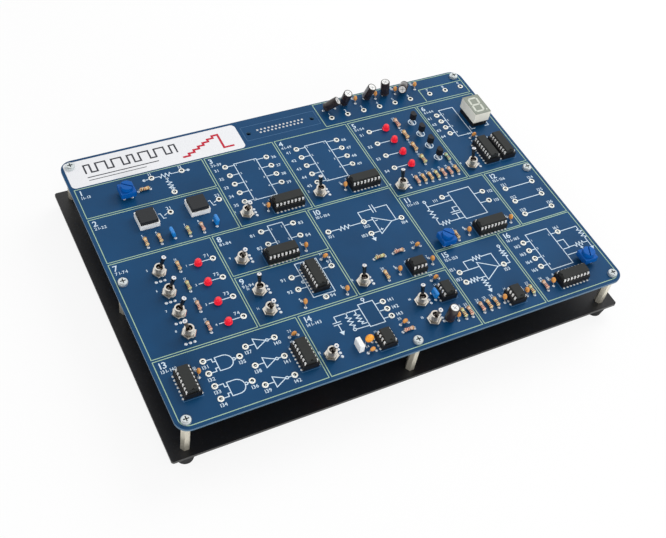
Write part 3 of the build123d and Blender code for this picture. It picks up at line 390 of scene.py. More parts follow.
# What makes each material, and with what values after its name
FINISHES = {
    "board_mask": (board_mask,),
    "base_black": (base_sheet,),
    "foot_rubber": (rubber,),
    "post_nickel": (post_plating,),
    "board_screw_zinc": (cross_screw,),
    "jack_cream": (jack_ring,),
    "resistor_beige": (resistor_lacquer,),
    "can_sleeve": (can_sleeve,),
    "led_red": (lens,),
    "display_grey": (display_moulding,),
    "nickel": (metal, (244, 238, 228), 0.12, 0.34, 0.9),
    "screw_zinc": (metal, (226, 228, 230), 0.28, 0.2),
    "tinned": (metal, (232, 232, 228), 0.26, 0.16, 0.6),
    "chip_lead": (metal, (252, 252, 250), 0.4, 0.06, 0.6, 0.2),
    "solder": (metal, (232, 240, 248), 0.3, 0.14, 0.7, 0.6),
    "solder_dull": (metal, (226, 228, 228), 0.4, 0.15, 0.7, 0.3),
    "gold": (metal, (220, 178, 96), 0.25, 0.2),
    "spring_steel": (metal, (190, 190, 188), 0.22, 0.15),
    # Painted shade and reflection: the chrome of the levers and of the bushings' mouths is coloured dark grey
    "lever_chrome": (metal, (124, 118, 114), 0.14, 0.5),
    # Painted highlight: the ball of each lever is coloured near white
    "lever_tip": (metal, (244, 244, 246), 0.3, 0.1, 0.8, 0.55),
    # Painted reflection: the end of each lever is tinted blue like sky
    "lever_end": (metal, (120, 140, 165), 0.25, 0.3, 0.6),
    # Painted shade: the inside of each jack's bore is coloured near black for the shade in the hollow
    "jack_bore": (metal, (18, 13, 9), 0.6, 0.3, 1.0, 0.3),
    "jack_barrel": (metal, (206, 180, 120), 0.3, 0.2, 1.0),
    "tin_plate": (metal, (214, 214, 208), 0.3, 0.15, 3.0),
    "can_top": (metal, (244, 244, 242), 0.35, 0.08, 1.0, 0.4),
    "can_score": (metal, (176, 178, 180), 0.5, 0.1, 1.0),
    "socket_black": (moulding, (20, 20, 22), 0.48),
    "package_black": (moulding, (36, 38, 37), 0.6, 0.3, 0.03),
    "transistor_black": (moulding, (20, 22, 26), 0.45),
    "white_plastic": (moulding, (240, 242, 242), 0.45, 0.5, 0.01),
    "cap_charcoal": (moulding, "cap", 0.5, 0.35, 0.03),
    "trimmer_blue": (moulding, "trimmer", 0.34, 0.8, 0.02, 0.3),
    "switch_case": (moulding, (120, 26, 24), 0.45),
    "display_segment": (moulding, (204, 208, 197), 0.4, 1.0, 0.01),
    "ceramic_tan": (dip, (240, 180, 96), (192, 112, 46)),
    "disc_orange": (dip, (255, 182, 62), (226, 136, 32)),
    "capacitor_blue": (dip, (34, 150, 232), (14, 98, 176)),
    "print_pale": (ink, "print"),
    "print_faint": (ink, (74, 112, 150)),
    "print_border": (ink, "border"),
    "label_white": (ink, "label"),
    "label_dark": (ink, (56, 58, 66)),
    "label_accent": (ink, (196, 40, 62)),
}

# The CAD pieces that each finish goes on, by their names without numbers
CAD_FINISHES = {
    "board_mask": ["circuit_board"],
    "base_black": ["base_plate"],
    "foot_rubber": ["rubber_feet"],
    "post_nickel": ["standoffs"],
    "board_screw_zinc": ["board_screws"],
    "screw_zinc": ["base_screws", "connector_jackscrews"],
    "switch_case": ["toggle_housings"],
    "nickel": ["toggle_nuts"],
    "white_plastic": ["button_cases", "film_capacitor"],
    "cap_charcoal": ["button_cap"],
    "spring_steel": ["button_domes"],
    "trimmer_blue": ["trimmer_bodies", "trimmer_knob"],
    "socket_black": ["chip_sockets", "display_socket", "connector_insulator"],
    "package_black": ["chip_bodies"],
    "chip_lead": ["chip_leads"],
    "transistor_black": ["transistor_bodies"],
    "capacitor_blue": ["blue_capacitors"],
    "tin_plate": ["connector_shell"],
    "gold": ["connector_contacts"],
    "tinned": [
        "toggle_terminals", "button_pins", "trimmer_pins", "socket_contacts", "display_pins",
        "led_leads", "transistor_leads", "resistor_leads", "capacitor_leads",
    ],
}

MADE = {}


def material(name):
    """The material of a name, made once."""
    if name not in MADE:
        make, *values = FINISHES[name]
        MADE[name] = make(name, *values).material
    return MADE[name]


# Meshes


def span(points):
    """The lowest and highest corners of points."""
    return [Vector([pick(point[axis] for point in points) for axis in range(3)]) for pick in (min, max)]


def islands(node):
    """The lowest and highest corners of each solid of a CAD node, in millimetres."""
    mesh = bmesh.new()
    mesh.from_mesh(NODES[node].data)
    bmesh.ops.remove_doubles(mesh, verts=mesh.verts, dist=1e-6)
    seen = set()
    found = []
    for first in mesh.verts:
        if first.index in seen:
            continue
        seen.add(first.index)
        group, waiting = [], [first]
        while waiting:
            vert = waiting.pop()
            group.append(vert.co.copy())
            for edge in vert.link_edges:
                other = edge.other_vert(vert)
                if other.index not in seen:
                    seen.add(other.index)
                    waiting.append(other)
        found.append([corner / MM for corner in span(group)])
    mesh.free()
    return found


def middles(node):
    """The middle of each solid of a CAD node, in millimetres."""
    return [(low + high) / 2 for low, high in islands(node)]


def new_piece(name, mesh, finishes, body=MODULE, smooth=0.0):
    """Turns a mesh that was built in millimetres into a named piece on a body."""
    bmesh.ops.scale(mesh, vec=(MM, MM, MM), verts=mesh.verts)
    bmesh.ops.recalc_face_normals(mesh, faces=mesh.faces)
    data = as_template(mesh, name)
    piece = bpy.data.objects.new(name, data)
    bpy.context.scene.collection.objects.link(piece)
    for finish in finishes:
        data.materials.append(material(finish))
    if smooth:
        data.shade_smooth()
        data.set_sharp_from_angle(angle=math.radians(smooth))
    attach(piece, body)
    return piece


def lathe(profile, steps, slots=None):
    """A mesh template turned about Z from radius and height pairs, with a finish number for each band."""
    mesh = bmesh.new()
    verts = [mesh.verts.new((radius, 0, height)) for radius, height in profile]
    edges = [mesh.edges.new(pair) for pair in zip(verts, verts[1:])]
    bmesh.ops.spin(
        mesh, geom=verts + edges, cent=(0, 0, 0), axis=(0, 0, 1), angle=math.tau, steps=steps, use_merge=True
    )
    bmesh.ops.remove_doubles(mesh, verts=mesh.verts, dist=1e-4)
    bmesh.ops.recalc_face_normals(mesh, faces=mesh.faces)
    if slots:
        for face in mesh.faces:
            centre = face.calc_center_median()
            face.material_index = slots(centre.xy.length, centre.z)
    return as_template(mesh)


def as_template(mesh, name="template"):
    """A mesh datablock made of a bmesh."""
    data = bpy.data.meshes.new(name)
    mesh.to_mesh(data)
    mesh.free()
    return data


def stamp(mesh, template, matrix, marks=None, slot=None):
    """Adds a moved copy of a template to a mesh, and marks its points from their untouched places."""
    first_vert, first_face = len(mesh.verts), len(mesh.faces)
    mesh.from_mesh(template)
    mesh.verts.ensure_lookup_table()
    mesh.faces.ensure_lookup_table()
    fresh = mesh.verts[first_vert:]
    for layer, value in (marks or {}).items():
        for vert in fresh:
            vert[layer] = value(vert.co) if callable(value) else value
    bmesh.ops.transform(mesh, matrix=matrix, verts=fresh)
    if slot is not None:
        for face in mesh.faces[first_face:]:
            face.material_index = slot


def stamped(template, matrices):
    """A mesh with a copy of a template at each matrix."""
    mesh = bmesh.new()
    for matrix in matrices:
        stamp(mesh, template, matrix)
    return mesh


def moved(x, y, z):
    return Matrix.Translation((x, y, z))


def turned(degrees, axis="Z"):
    return Matrix.Rotation(math.radians(degrees), 4, axis)


def towards(direction):
    """A turn that takes +Z to a direction."""
    return Vector(direction).to_track_quat("Z", "Y").to_matrix().to_4x4()


def arc(x, y, radius, start, end, steps):
    """Points along an arc, whose start and end are in degrees."""
    turns = [math.radians(start + (end - start) * n / steps) for n in range(steps + 1)]
    return [(x + radius * math.cos(turn), y + radius * math.sin(turn)) for turn in turns]


def add_plate(mesh, outline, level, height):
    """Adds a flat plate to a mesh, from its outline, the level of its foot and its thickness."""
    face = mesh.faces.new([mesh.verts.new((x, y, level)) for x, y in outline])
    grown = bmesh.ops.extrude_face_region(mesh, geom=[face])
    top = [item for item in grown["geom"] if isinstance(item, bmesh.types.BMVert)]
    bmesh.ops.translate(mesh, vec=(0, 0, height), verts=top)


# Printed lines

# What one stroke is thicker than the last, so that strokes that cross have no shared face
CROSSING_STEP = 0.003
# Comes before the end of a resistor's zigzag among the points of a wire
ZIGZAG = "zigzag"


class Ink:
    """Flat printed lines on the board that gather in one mesh."""

    def __init__(self, width, height, level=BOARD_TOP):
        self.mesh = bmesh.new()
        self.width = width
        self.height = height
        self.level = level
        self.strokes = 0

    def line(self, *points, width=None):
        """Straight strokes through points."""
        wide = width or self.width
        for (x1, y1), (x2, y2) in zip(points, points[1:]):
            run = math.hypot(x2 - x1, y2 - y1) + wide
            self.strokes += 1
            thick = self.height + CROSSING_STEP * (self.strokes % 5)
            centre = moved((x1 + x2) / 2, (y1 + y2) / 2, self.level + thick / 2)
            angle = turned(math.degrees(math.atan2(y2 - y1, x2 - x1)))
            size = Matrix.Diagonal((run, wide, thick, 1))
            bmesh.ops.create_cube(self.mesh, size=1, matrix=centre @ angle @ size)
        return self

    def wire(self, *stops):
        """Straight strokes through points, with a zigzag to each point after the mark for it."""
        last, draw = stops[0], self.line
        for stop in stops[1:]:
            if stop is ZIGZAG:
                draw = self.zigzag
                continue
            draw(last, stop)
            last, draw = stop, self.line
        return self

    def box(self, left, low, right, high, rounded=None):
        """A rectangle, with one corner rounded if asked, counted from the low left one."""
        corners = [(left, low), (right, low), (right, high), (left, high)]
        inward = [(1, 1), (-1, 1), (-1, -1), (1, -1)]
        points = []
        for number, ((x, y), (across, up)) in enumerate(zip(corners, inward)):
            if number == rounded:
                start = 180 + 90 * number
                middle = (x + across * BORDER_ROUNDING, y + up * BORDER_ROUNDING)
                points += arc(*middle, BORDER_ROUNDING, start, start + 90, 6)
            else:
                points.append((x, y))
        return self.line(*points, points[0])

    def curve(self, x, y, radius, start=0, end=360, steps=10):
        """An arc or a whole circle."""
        return self.line(*arc(x, y, radius, start, end, steps))

    def zigzag(self, start, end, swing=1.6, peaks=6):
        """The sign of a resistor between two points."""
        first, last = Vector(start), Vector(end)
        side = (last - first).orthogonal().normalized() * swing
        points = [first.lerp(last, (n + 0.5) / peaks) + side * (1 if n % 2 else -1) for n in range(peaks)]
        return self.line(*[tuple(point) for point in (first, *points, last)])

    def solid(self, *points):
        """A filled outline."""
        add_plate(self.mesh, points, self.level, self.height)
        return self

    def ground(self, x, y):
        """The filled triangle of an earth."""
        return self.solid((x - 1.7, y + 1.2), (x, y - 1.6), (x + 1.7, y + 1.2))

    def plates(self, x, y, along_x, length=5.2, gap=1.7):
        """The two plates of a capacitor, crossed by a line along X or Y."""
        for side in (-gap / 2, gap / 2):
            if along_x:
                self.line((x + side, y - length / 2), (x + side, y + length / 2))
            else:
                self.line((x - length / 2, y + side), (x + length / 2, y + side))
        return self


DIGITS = {}


def digit(character):
    """A thin closed mesh of one digit, a unit high, with its width."""
    if character not in DIGITS:
        curve = bpy.data.curves.new("digit", "FONT")
        curve.body = character
        curve.size = 1.0
        curve.extrude = 0.006
        curve.offset = 0.012
        curve.resolution_u = 2
        holder = bpy.data.objects.new("digit", curve)
        data = bpy.data.meshes.new_from_object(holder)
        bpy.data.objects.remove(holder)
        width = max(vert.co.x for vert in data.vertices)
        DIGITS[character] = (data, width)
    return DIGITS[character]


# A digit's height and the gap after it, as shares of the size that it is set in
DIGIT_HEIGHT, DIGIT_GAP = 0.7, 0.08


def write_number(mesh, number, x, y, height, level):
    """Adds a number to a mesh, from its lower left corner."""
    scale = height / DIGIT_HEIGHT
    for character in str(number):
        data, width = digit(character)
        stamp(mesh, data, moved(x, y, level) @ Matrix.Diagonal((scale, scale, scale, 1)))
        x += (width + DIGIT_GAP) * scale


# The sixteen bordered circuits, each as left, low, right and high
CIRCUITS = [
    (-146.0, 54.2, -62.1, 79.2),
    (-146.0, 16.9, -62.1, 52.6),
    (-60.5, 16.9, -12.1, 79.2),
    (-10.5, 16.9, 43.0, 79.2),
    (44.6, 6.6, 98.5, 79.2),
    (100.0, 6.6, 146.2, 79.2),
    (-146.0, -56.6, -82.4, 15.4),
    (-80.9, -17.7, -17.8, 15.4),
    (-80.9, -56.6, -17.8, -19.4),
    (-16.2, -56.6, 43.0, 15.4),
    (44.6, -42.9, 109.2, 5.0),
    (110.8, -42.9, 146.2, 5.0),
    (-146.0, -102.6, -59.4, -58.2),
    (-57.8, -102.6, 42.6, -58.2),
    (44.1, -102.6, 88.8, -44.1),
    (90.4, -102.6, 146.2, -44.1),
]
# The corner of a circuit that is rounded, by its left and low edges, counted from the low left one
BOARD_CORNERS = {(-146.0, -102.6): 0, (90.4, -102.6): 1}
BORDER_ROUNDING = 5.5
# The outline of the connector under the board
CONNECTOR_OUTLINE = (-27.0, 85.4, 27.4, 98.5)
# The white panel as left, low, right and high, and the rounding of its corners
LABEL = (-146.5, 80.5, -29.8, 103.2)
LABEL_CORNER = 3.0


def draw_borders(ink):
    """The border of each circuit and of the power block, round where the board's corners are."""
    for edges in CIRCUITS:
        ink.box(*edges, rounded=BOARD_CORNERS.get(edges[:2]))
    ink.box(29.6, 81.1, 146.0, 103.9, rounded=2)
    ink.line((110.0, 81.1), (110.0, 94.3), (146.0, 94.3))


def column(top, pitch, count):
    """Heights that go down from a top one by a pitch."""
    return [top - pitch * n for n in range(count)]


# The heights of the wires at the boxes, and the boxes by their circuits
TALL_LEFT, TALL_RIGHT = column(67.5, 8.0, 5), column(67.5, 8.0, 4)
DISPLAY_INPUTS = column(66.2, 6.3, 4)
COUNTER_PINS = [8.7, -2.0]
CONVERTER_INPUTS = column(-57.0, 6.83, 4)
LAMP_PITCH = 15.4
BOXES = {
    3: (-44.2, 34.7, -28.5, 68.6),
    4: (7.0, 34.7, 22.6, 68.8),
    6: (113.1, 43.1, 124.5, 70.5),
    8: (-45.7, -4.2, -35.8, 11.9),
    16: (107.0, -82.1, 123.8, -51.6),
}
# Small numbers in the boxes: the circuit, and the heights of the left and the right ones
PIN_NUMBERS = [
    (3, TALL_LEFT, TALL_RIGHT),
    (4, TALL_LEFT, TALL_RIGHT),
    (6, DISPLAY_INPUTS, []),
    (8, COUNTER_PINS, COUNTER_PINS),
    (16, CONVERTER_INPUTS, [-56.7]),
]


def draw_potentiometer(ink):
    """Circuit 1: a divider between two supplies."""
    ink.wire((-98.1, 73.6), (-92.9, 73.6), ZIGZAG, (-85.1, 73.6), (-77.9, 73.6))
    ink.line((-88.9, 71.6), (-88.9, 68.5)).wire((-88.8, 68.5), ZIGZAG, (-88.8, 60.5), (-88.7, 57.9))
    ink.solid((-90.0, 70.0), (-87.8, 70.0), (-88.9, 72.2))
    for x, wire in ((-103.1, 2.9), (-73.7, -2.1)):
        ink.curve(x, 73.4, 0.7).line((x, 73.4), (x + wire, 73.5))


def draw_pulses(ink):
    """Circuit 2: a falling edge beside each push button."""
    for x in (-103.0, -70.3):
        ink.line((x - 1.5, 43.7), (x - 0.5, 43.7), (x + 0.3, 39.3), (x + 1.7, 39.3))
        ink.line((x + 1.7, 41.6), (x + 3.4, 42.5))


def draw_pin_box(ink, left_x, left_ys, right_x, right_ys, box):
    """A box with a line from each jack beside it."""
    ink.box(*box)
    for y in left_ys:
        ink.line((left_x, y), (box[0], y))
    for y in right_ys:
        ink.line((box[2], y), (right_x, y))


def draw_upper_circuits(ink):
    """Circuits 1 to 6."""
    draw_potentiometer(ink)
    draw_pulses(ink)
    draw_pin_box(ink, -50.6, TALL_LEFT, -21.5, TALL_RIGHT, BOXES[3])
    draw_pin_box(ink, 0.4, TALL_LEFT, 30.1, TALL_RIGHT, BOXES[4])
    for y in column(66.7, 12.1, 4):
        ink.line((55.2, y), (64.9, y)).curve(88.9, y - 0.7, 2.7, steps=18)
    draw_pin_box(ink, 109.0, DISPLAY_INPUTS, 0, [], BOXES[6])
    ink.line((126.2, 49.4), (126.2, 46.4), (129.2, 46.4)).line((137.4, 46.4), (140.4, 46.4), (140.4, 49.4))


def draw_lamps(ink):
    """Circuit 7: a line through each lamp to its jack."""
    for y in column(-0.6, LAMP_PITCH, 4):
        ink.line((-101.7, y), (-99.0, y)).line((-95.4, y), (-86.9, y))


def draw_counters(ink):
    """Circuits 8 and 9: boxes with jacks on their sides."""
    draw_pin_box(ink, -51.3, COUNTER_PINS, -29.6, COUNTER_PINS, BOXES[8])
    draw_pin_box(ink, -49.0, (-30.8, -40.3), -22.3, (-30.8,), (-43.0, -48.8, -28.7, -21.9))
    ink.line((-35.9, -51.0), (-35.9, -48.8)).curve(-43.9, -36.0, 0.8)


def draw_integrator(ink):
    """Circuit 10: an amplifier with a capacitor from its output to its input."""
    ink.wire((-12.0, -5.7), (-4.4, -5.7), ZIGZAG, (3.4, -5.7), (19.6, -5.7))
    ink.line((13.1, -5.7), (13.1, 2.7), (22.9, 2.7)).plates(23.8, 2.7, True, 6.2, 1.9)
    ink.line((24.7, 2.7), (34.0, 2.7), (34.0, -10.8))
    ink.line((19.6, -4.0), (19.6, -18.3), (30.6, -10.9), (19.6, -4.0))
    ink.line((30.6, -10.9), (37.8, -10.7)).line((13.1, -16.0), (19.6, -16.0))
    ink.line((13.1, -16.0), (13.1, -19.8)).ground(13.1, -20.9)
    ink.line((20.6, -7.2), (22.2, -7.2)).line((20.6, -14.9), (22.2, -14.9)).line((21.4, -14.1), (21.4, -15.7))


def draw_timer(ink):
    """Circuit 11: a box fed by two resistors and a capacitor."""
    ink.box(77.9, -25.9, 94.2, -1.5).curve(58.7, -3.9, 0.9)
    ink.wire((58.7, -4.9), (58.7, -10.7), ZIGZAG, (58.7, -19.9), (58.7, -24.3), (59.9, -24.3))
    ink.wire((59.9, -24.3), ZIGZAG, (67.0, -24.3), (77.9, -24.3)).line((58.7, -8.3), (77.9, -8.3))
    ink.line((72.1, -4.1), (77.9, -4.1)).plates(74.1, -18.6, False, 6.1, 1.7)
    ink.line((73.8, -14.1), (73.8, -17.8)).line((73.8, -19.5), (73.8, -24.3)).line((73.8, -14.1), (77.9, -14.1))
    ink.line((94.2, -8.5), (100.8, -8.5)).line((94.2, -17.0), (100.8, -17.0))


def draw_links(ink):
    """Circuit 12: pairs of jacks joined by lines."""
    for y in column(-11.8, 12.0, 3):
        ink.line((117.3, y), (138.7, y))


def draw_gate(ink, y, inputs, output):
    """A gate with two inputs, a round nose and an inverting bubble."""
    bend, left, straight = -115.3, -113.4, -108.9
    half, apart, bubble = 4.6, 2.2, 0.8
    ink.line((straight, y + half), (left, y + half), (left, y - half), (straight, y - half))
    ink.curve(straight, y, half, -90, 90, 14).curve(straight + half + bubble, y, bubble)
    for jack, side in zip(inputs, (1, -1)):
        ink.line(jack, (bend, jack[1]), (bend, y + side * apart), (left, y + side * apart))
    ink.line((straight + half + 2 * bubble, y), output)


def draw_gates(ink):
    """Circuit 13: two gates and three inverters."""
    draw_gate(ink, -71.9, ((-120.2, -67.5), (-120.2, -76.1)), (-100.0, -71.9))
    draw_gate(ink, -89.3, ((-120.2, -84.8), (-120.2, -93.5)), (-100.0, -89.2))
    for y in column(-66.8, 13.65, 3):
        ink.line((-94.4, y), (-88.8, y)).line((-80.4, y), (-76.6, y))
        ink.line((-88.8, y + 3.6), (-88.8, y - 3.6), (-82.0, y), (-88.8, y + 3.6)).curve(-81.2, y, 0.8)


def draw_divider(ink):
    """Circuit 14: a box with a capacitor, an earth and two resistors."""
    ink.box(-21.1, -79.9, -11.2, -63.1)
    ink.curve(-16.5, -60.4, 0.9).line((-16.5, -61.3), (-16.5, -63.1))
    ink.line((-21.1, -66.1), (-38.4, -66.1), (-38.4, -70.3)).plates(-38.5, -71.1, False, 4.8, 1.6)
    ink.line((-38.4, -71.9), (-38.4, -77.2)).ground(-38.4, -78.2)
    ink.wire((-30.6, -66.1), (-30.6, -68.4), ZIGZAG, (-30.6, -76.5))
    ink.curve(-30.7, -78.4, 0.9).line((-30.6, -76.5), (-30.6, -77.5))
    ink.wire((-24.8, -66.1), (-24.8, -68.4), ZIGZAG, (-24.8, -75.8), (-24.8, -76.5), (-21.1, -76.5))
    ink.line((-29.8, -78.6), (-21.1, -78.9))
    for y in column(-66.3, 5.6, 3):
        ink.line((-11.2, y), (-5.8, y))


def draw_amplifier(ink):
    """Circuit 15: an amplifier with resistors to its input, output and earth."""
    ink.line((64.5, -60.0), (64.5, -74.6), (75.9, -67.5), (64.5, -60.0)).line((49.9, -63.5), (64.5, -63.5))
    ink.wire((56.6, -63.5), (56.6, -56.8), (62.6, -56.8), ZIGZAG, (69.8, -56.8), (77.2, -56.8), (77.2, -67.5))
    ink.wire((49.9, -71.6), (52.4, -71.6), ZIGZAG, (59.2, -71.6), (64.5, -71.6))
    ink.wire((61.4, -71.6), (61.4, -72.8), ZIGZAG, (61.4, -79.6), (61.4, -81.2)).ground(61.2, -82.3)
    ink.wire((75.9, -67.5), (85.1, -67.5), (85.1, -62.6), ZIGZAG, (85.1, -56.5), (85.1, -54.3))
    ink.curve(85.1, -53.4, 0.9)


def draw_converter(ink):
    """Circuit 16: a box with a resistor and a divider on its right."""
    draw_pin_box(ink, 101.9, CONVERTER_INPUTS, 0, [], BOXES[16])
    ink.wire((123.8, -56.7), (143.9, -56.7), (143.9, -59.2), ZIGZAG, (143.9, -67.0), (143.9, -74.8))
    ink.ground(143.6, -76.0).line((123.8, -63.4), (129.1, -63.4), (129.1, -70.2), (133.7, -70.2))
    ink.line((123.8, -70.5), (129.1, -70.5)).wire((133.7, -70.2), ZIGZAG, (140.5, -70.2), (143.9, -70.2))
    ink.line((137.1, -75.6), (137.1, -73.4)).solid((136.0, -73.6), (138.2, -73.6), (137.1, -71.6))
    ink.line((123.8, -75.6), (137.1, -75.6))


def draw_circuits(ink):
    """Every printed circuit."""
    for draw in (
        draw_upper_circuits, draw_lamps, draw_counters, draw_integrator, draw_timer,
        draw_links, draw_gates, draw_divider, draw_amplifier, draw_converter,
    ):
        draw(ink)


# Where a jack's number starts, from the jack: by circuit, with 0 for jacks outside them all,
# and at single jacks by their numbers. The others have theirs on their own side of the circuit.
ABOVE, BELOW, RIGHT, LEFT = (-1.6, 2.6), (-2.4, -5.0), (2.8, -1.2), (-7.2, -1.2)
JACK_NUMBERS = {
    0: (-0.8, 2.8), 1: ABOVE, 2: ABOVE, 7: (-4.6, 2.4), 9: LEFT, 10: BELOW,
    12: ABOVE, 13: BELOW, 14: RIGHT, 15: (-5.4, 2.5),
}
SINGLE_NUMBERS = {93: ABOVE, 94: RIGHT, 103: LEFT, 153: BELOW, 161: ABOVE}
AT_LEFT_SIDE, AT_RIGHT_SIDE = (-7.9, -2.2), (3.0, -2.2)
# Where the resistors that lie along X outside circuit 1 are
LYING_ROW = -35.4


def jack_number_shift(circuit, number, x):
    """Where the number of a jack starts, from the jack."""
    shift = SINGLE_NUMBERS.get(number) or JACK_NUMBERS.get(circuit)
    if shift:
        return shift
    left, low, right, high = CIRCUITS[circuit - 1]
    return AT_LEFT_SIDE if x < (left + right) / 2 else AT_RIGHT_SIDE


def circuit_of(x, y):
    """The number of the circuit that a place is in, and 0 outside them all."""
    for number, (left, low, right, high) in enumerate(CIRCUITS, 1):
        if left < x < right and low < y < high:
            return number
    return 0


# Operators: each makes one piece or group of like pieces


class TRAINER_OT_board(bpy.types.Operator):
    """Finish the board, the base and every other piece that keeps its shape"""

    bl_idname = "trainer.board"
    bl_label = "Board and base"

    def execute(self, context):
        for finish, kinds in CAD_FINISHES.items():
            for name, node in NODES.items():
                if name.rstrip("_0123456789") in kinds:
                    node.data.materials.clear()
                    node.data.materials.append(material(finish))
        return {"FINISHED"}


class TRAINER_OT_printing(bpy.types.Operator):
    """Print the borders, the circuits and the outlines of the sockets"""

    bl_idname = "trainer.printing"
    bl_label = "Printed circuits"

    def execute(self, context):
        height = sizes().ink_height / MM
        borders, circuits, outlines = [
            Ink(width / MM, height) for width in (sizes().border_width, sizes().print_width, sizes().outline_width)
        ]
        draw_borders(borders)
        new_piece("printed_borders", borders.mesh, ["print_border"])
        draw_circuits(circuits)
        new_piece("printed_circuits", circuits.mesh, ["print_pale"])
        outlines.box(*CONNECTOR_OUTLINE)
        for low, high in islands("chip_sockets"):
            outlines.box(low.x - 0.7, low.y - 0.7, high.x + 0.7, high.y + 0.7)
        new_piece("printed_outlines", outlines.mesh, ["print_faint"])
        return {"FINISHED"}


class TRAINER_OT_numbers(bpy.types.Operator):
    """Print plain numbers at the circuits, the jacks and the small parts"""

    bl_idname = "trainer.numbers"
    bl_label = "Printed numbers"

    title_height: length_choice("Title height", "Height of a circuit's number", 0.0042)
    range_height: length_choice("Range height", "Height of a circuit's first and last jack number", 0.0022)
    jack_height: length_choice("Jack height", "Height of a jack's number", 0.0023)
    part_height: length_choice("Part height", "Height of a small part's number", 0.0016)

    def execute(self, context):
        mesh = bmesh.new()
        level = BOARD_TOP + sizes().ink_height / MM
        title, extent, small = self.title_height / MM, self.range_height / MM, self.part_height / MM
        counts, inset, drop = {}, 1.6, 8.9
        for place in middles("test_jacks"):
            circuit = circuit_of(place.x, place.y)
            counts[circuit] = counts.get(circuit, 0) + 1
            number = 10 * circuit + counts[circuit]
            across, up = jack_number_shift(circuit, number, place.x)
            write_number(mesh, number, place.x + across, place.y + up, self.jack_height / MM, level)
        for number, (left, low, right, high) in enumerate(CIRCUITS, 1):
            write_number(mesh, number, left + inset, high - inset - title, title, level)
            first, last = 10 * number + 1, 10 * number + counts.get(number, 1)
            write_number(mesh, f"{first}-{last}", left + inset, high - drop, extent, level)
        for number, x, y in self.part_numbers():
            write_number(mesh, number, x, y, small, level)
        new_piece("printed_numbers", mesh, ["print_pale"])
        return {"FINISHED"}

    def part_numbers(self):
        """The numbers of the small parts, each with its place."""
        found = []
        for number, place in enumerate(middles("resistor_bodies"), 1):
            circuit = circuit_of(place.x, place.y)
            raised = place.z > BOARD_TOP + 2.0
            if raised and circuit == 5:
                continue
            lies_along_x = circuit == 1 or abs(place.y - LYING_ROW) <= 0.3
            found.append((number, place.x - 1.0, place.y + (1.6 if lies_along_x else 5.2)))
        for number, place in enumerate(middles("ceramic_capacitors"), 1):
            found.append((number, place.x - 2.2, place.y + 3.4))
        for number, (low, high) in enumerate(islands("chip_bodies"), 1):
            found.append((number, low.x - 0.5, high.y + 2.4))
        for number, place in enumerate(middles("toggle_nuts"), 1):
            found.append((number, place.x - 6.6, place.y + 3.6))
        for circuit, left, right in PIN_NUMBERS:
            box = BOXES[circuit]
            for x, rows in ((box[0] + 0.9, left), (box[2] - 2.2, right)):
                found += [(number, x, y - 0.8) for number, y in enumerate(rows, 1)]
        return found + [(number, -104.2, 14.0 - LAMP_PITCH * number) for number in range(1, 5)]


class TRAINER_OT_label(bpy.types.Operator):
    """Print the white panel with a plain pulse and a stair of steps"""

    bl_idname = "trainer.label"
    bl_label = "White panel"

    step: length_choice("Step", "Width of one step of the wave", 0.004)

    def execute(self, context):
        left, low, right, high = LABEL
        height = sizes().ink_height / MM
        level = BOARD_TOP + height
        step = self.step / MM
        corner = LABEL_CORNER
        outline = arc(right - corner, low + corner, corner, 270, 360, 6)
        outline += arc(right - corner, high - corner, corner, 0, 90, 6)
        outline += arc(left + corner, high - corner, corner, 90, 180, 6)
        outline += arc(left + corner, low + corner, corner, 180, 270, 6)
        mesh = bmesh.new()
        add_plate(mesh, outline, BOARD_TOP, height)
        new_piece("label_panel", mesh, ["label_white"])
        pulses = Ink(1.1, height, level)
        points = []
        start, foot = left + 12.0, right - 42.0
        x, base, rise = start, low + 10.5, 7.0
        for n in range(7):
            wide = step * (1.6 if n % 3 else 0.9)
            points += [(x, base), (x, base + rise), (x + wide, base + rise), (x + wide, base)]
            x += wide + step
        pulses.line(*points)
        for y, end, width in ((low + 6.6, left + 58.0, 0.7), (low + 4.0, left + 49.0, 0.5)):
            pulses.line((start, y), (end, y), width=width)
        new_piece("label_pulses", pulses.mesh, ["label_dark"])
        stair = Ink(1.5, height, level)
        points = [(foot, low + 4.4)]
        for n in range(7):
            x, y = points[-1]
            up = 2.1 if n < 6 else -6 * 2.1
            points += [(x + step, y), (x + step, y + up)]
        points.append((foot + 8.6 * step, low + 4.4))
        stair.line(*points)
        new_piece("label_stair", stair.mesh, ["label_accent"])
        return {"FINISHED"}


# A resistor that stands beside the fourth transistor, and the reach of its leads each way
LOOSE_RESISTOR = (94.5, 26.9)
LEAD_REACH = 3.81
# A resistor whose lowest point is this far over the board is one of the larger, raised ones
RAISED = 0.6


def solder_places():
    """Where leads are soldered, on the board's top face."""
    x, y = LOOSE_RESISTOR
    places = [(x, y - LEAD_REACH), (x, y + LEAD_REACH)]
    for node in ("resistor_leads", "capacitor_leads"):
        places += [foot_of(node, low, high) for low, high in islands(node)]
    for node in ("led_leads", "transistor_leads", "trimmer_pins"):
        places += [(place.x, place.y) for place in middles(node)]
    return places


# How far past a solid's box its points may lie when they are looked up
SLACK = 0.01
FEET = {}


def foot_of(node, low, high):
    """The middle of the lowest points of a lead, from the box of the lead."""
    if node not in FEET:
        points = [vert.co / MM for vert in NODES[node].data.vertices]
        FEET[node] = [point for point in points if point.z < BOARD_TOP + SLACK]
    near = [p for p in FEET[node] if all(low[n] - SLACK < p[n] < high[n] + SLACK for n in range(2))]
    middle = sum(span(near), Vector()) / 2
    return (middle.x, middle.y)


def toggle_places():
    """Each toggle's number, place and resting direction of its lever, and whether it throws along Y."""
    places = []
    for number in range(1, TOGGLE_COUNT + 1):
        joint = JOINTS[f"toggle_{number}_throw"]
        place = Vector(joint["pos_m"]) / MM
        axis = Vector(joint["axis"])
        half = joint["range_deg"][1] / 2
        rest = Matrix.Rotation(math.radians(-half), 4, axis) @ Vector((0, 0, 1))
        places.append((number, place, rest, abs(axis.x) > 0.5))
    return places


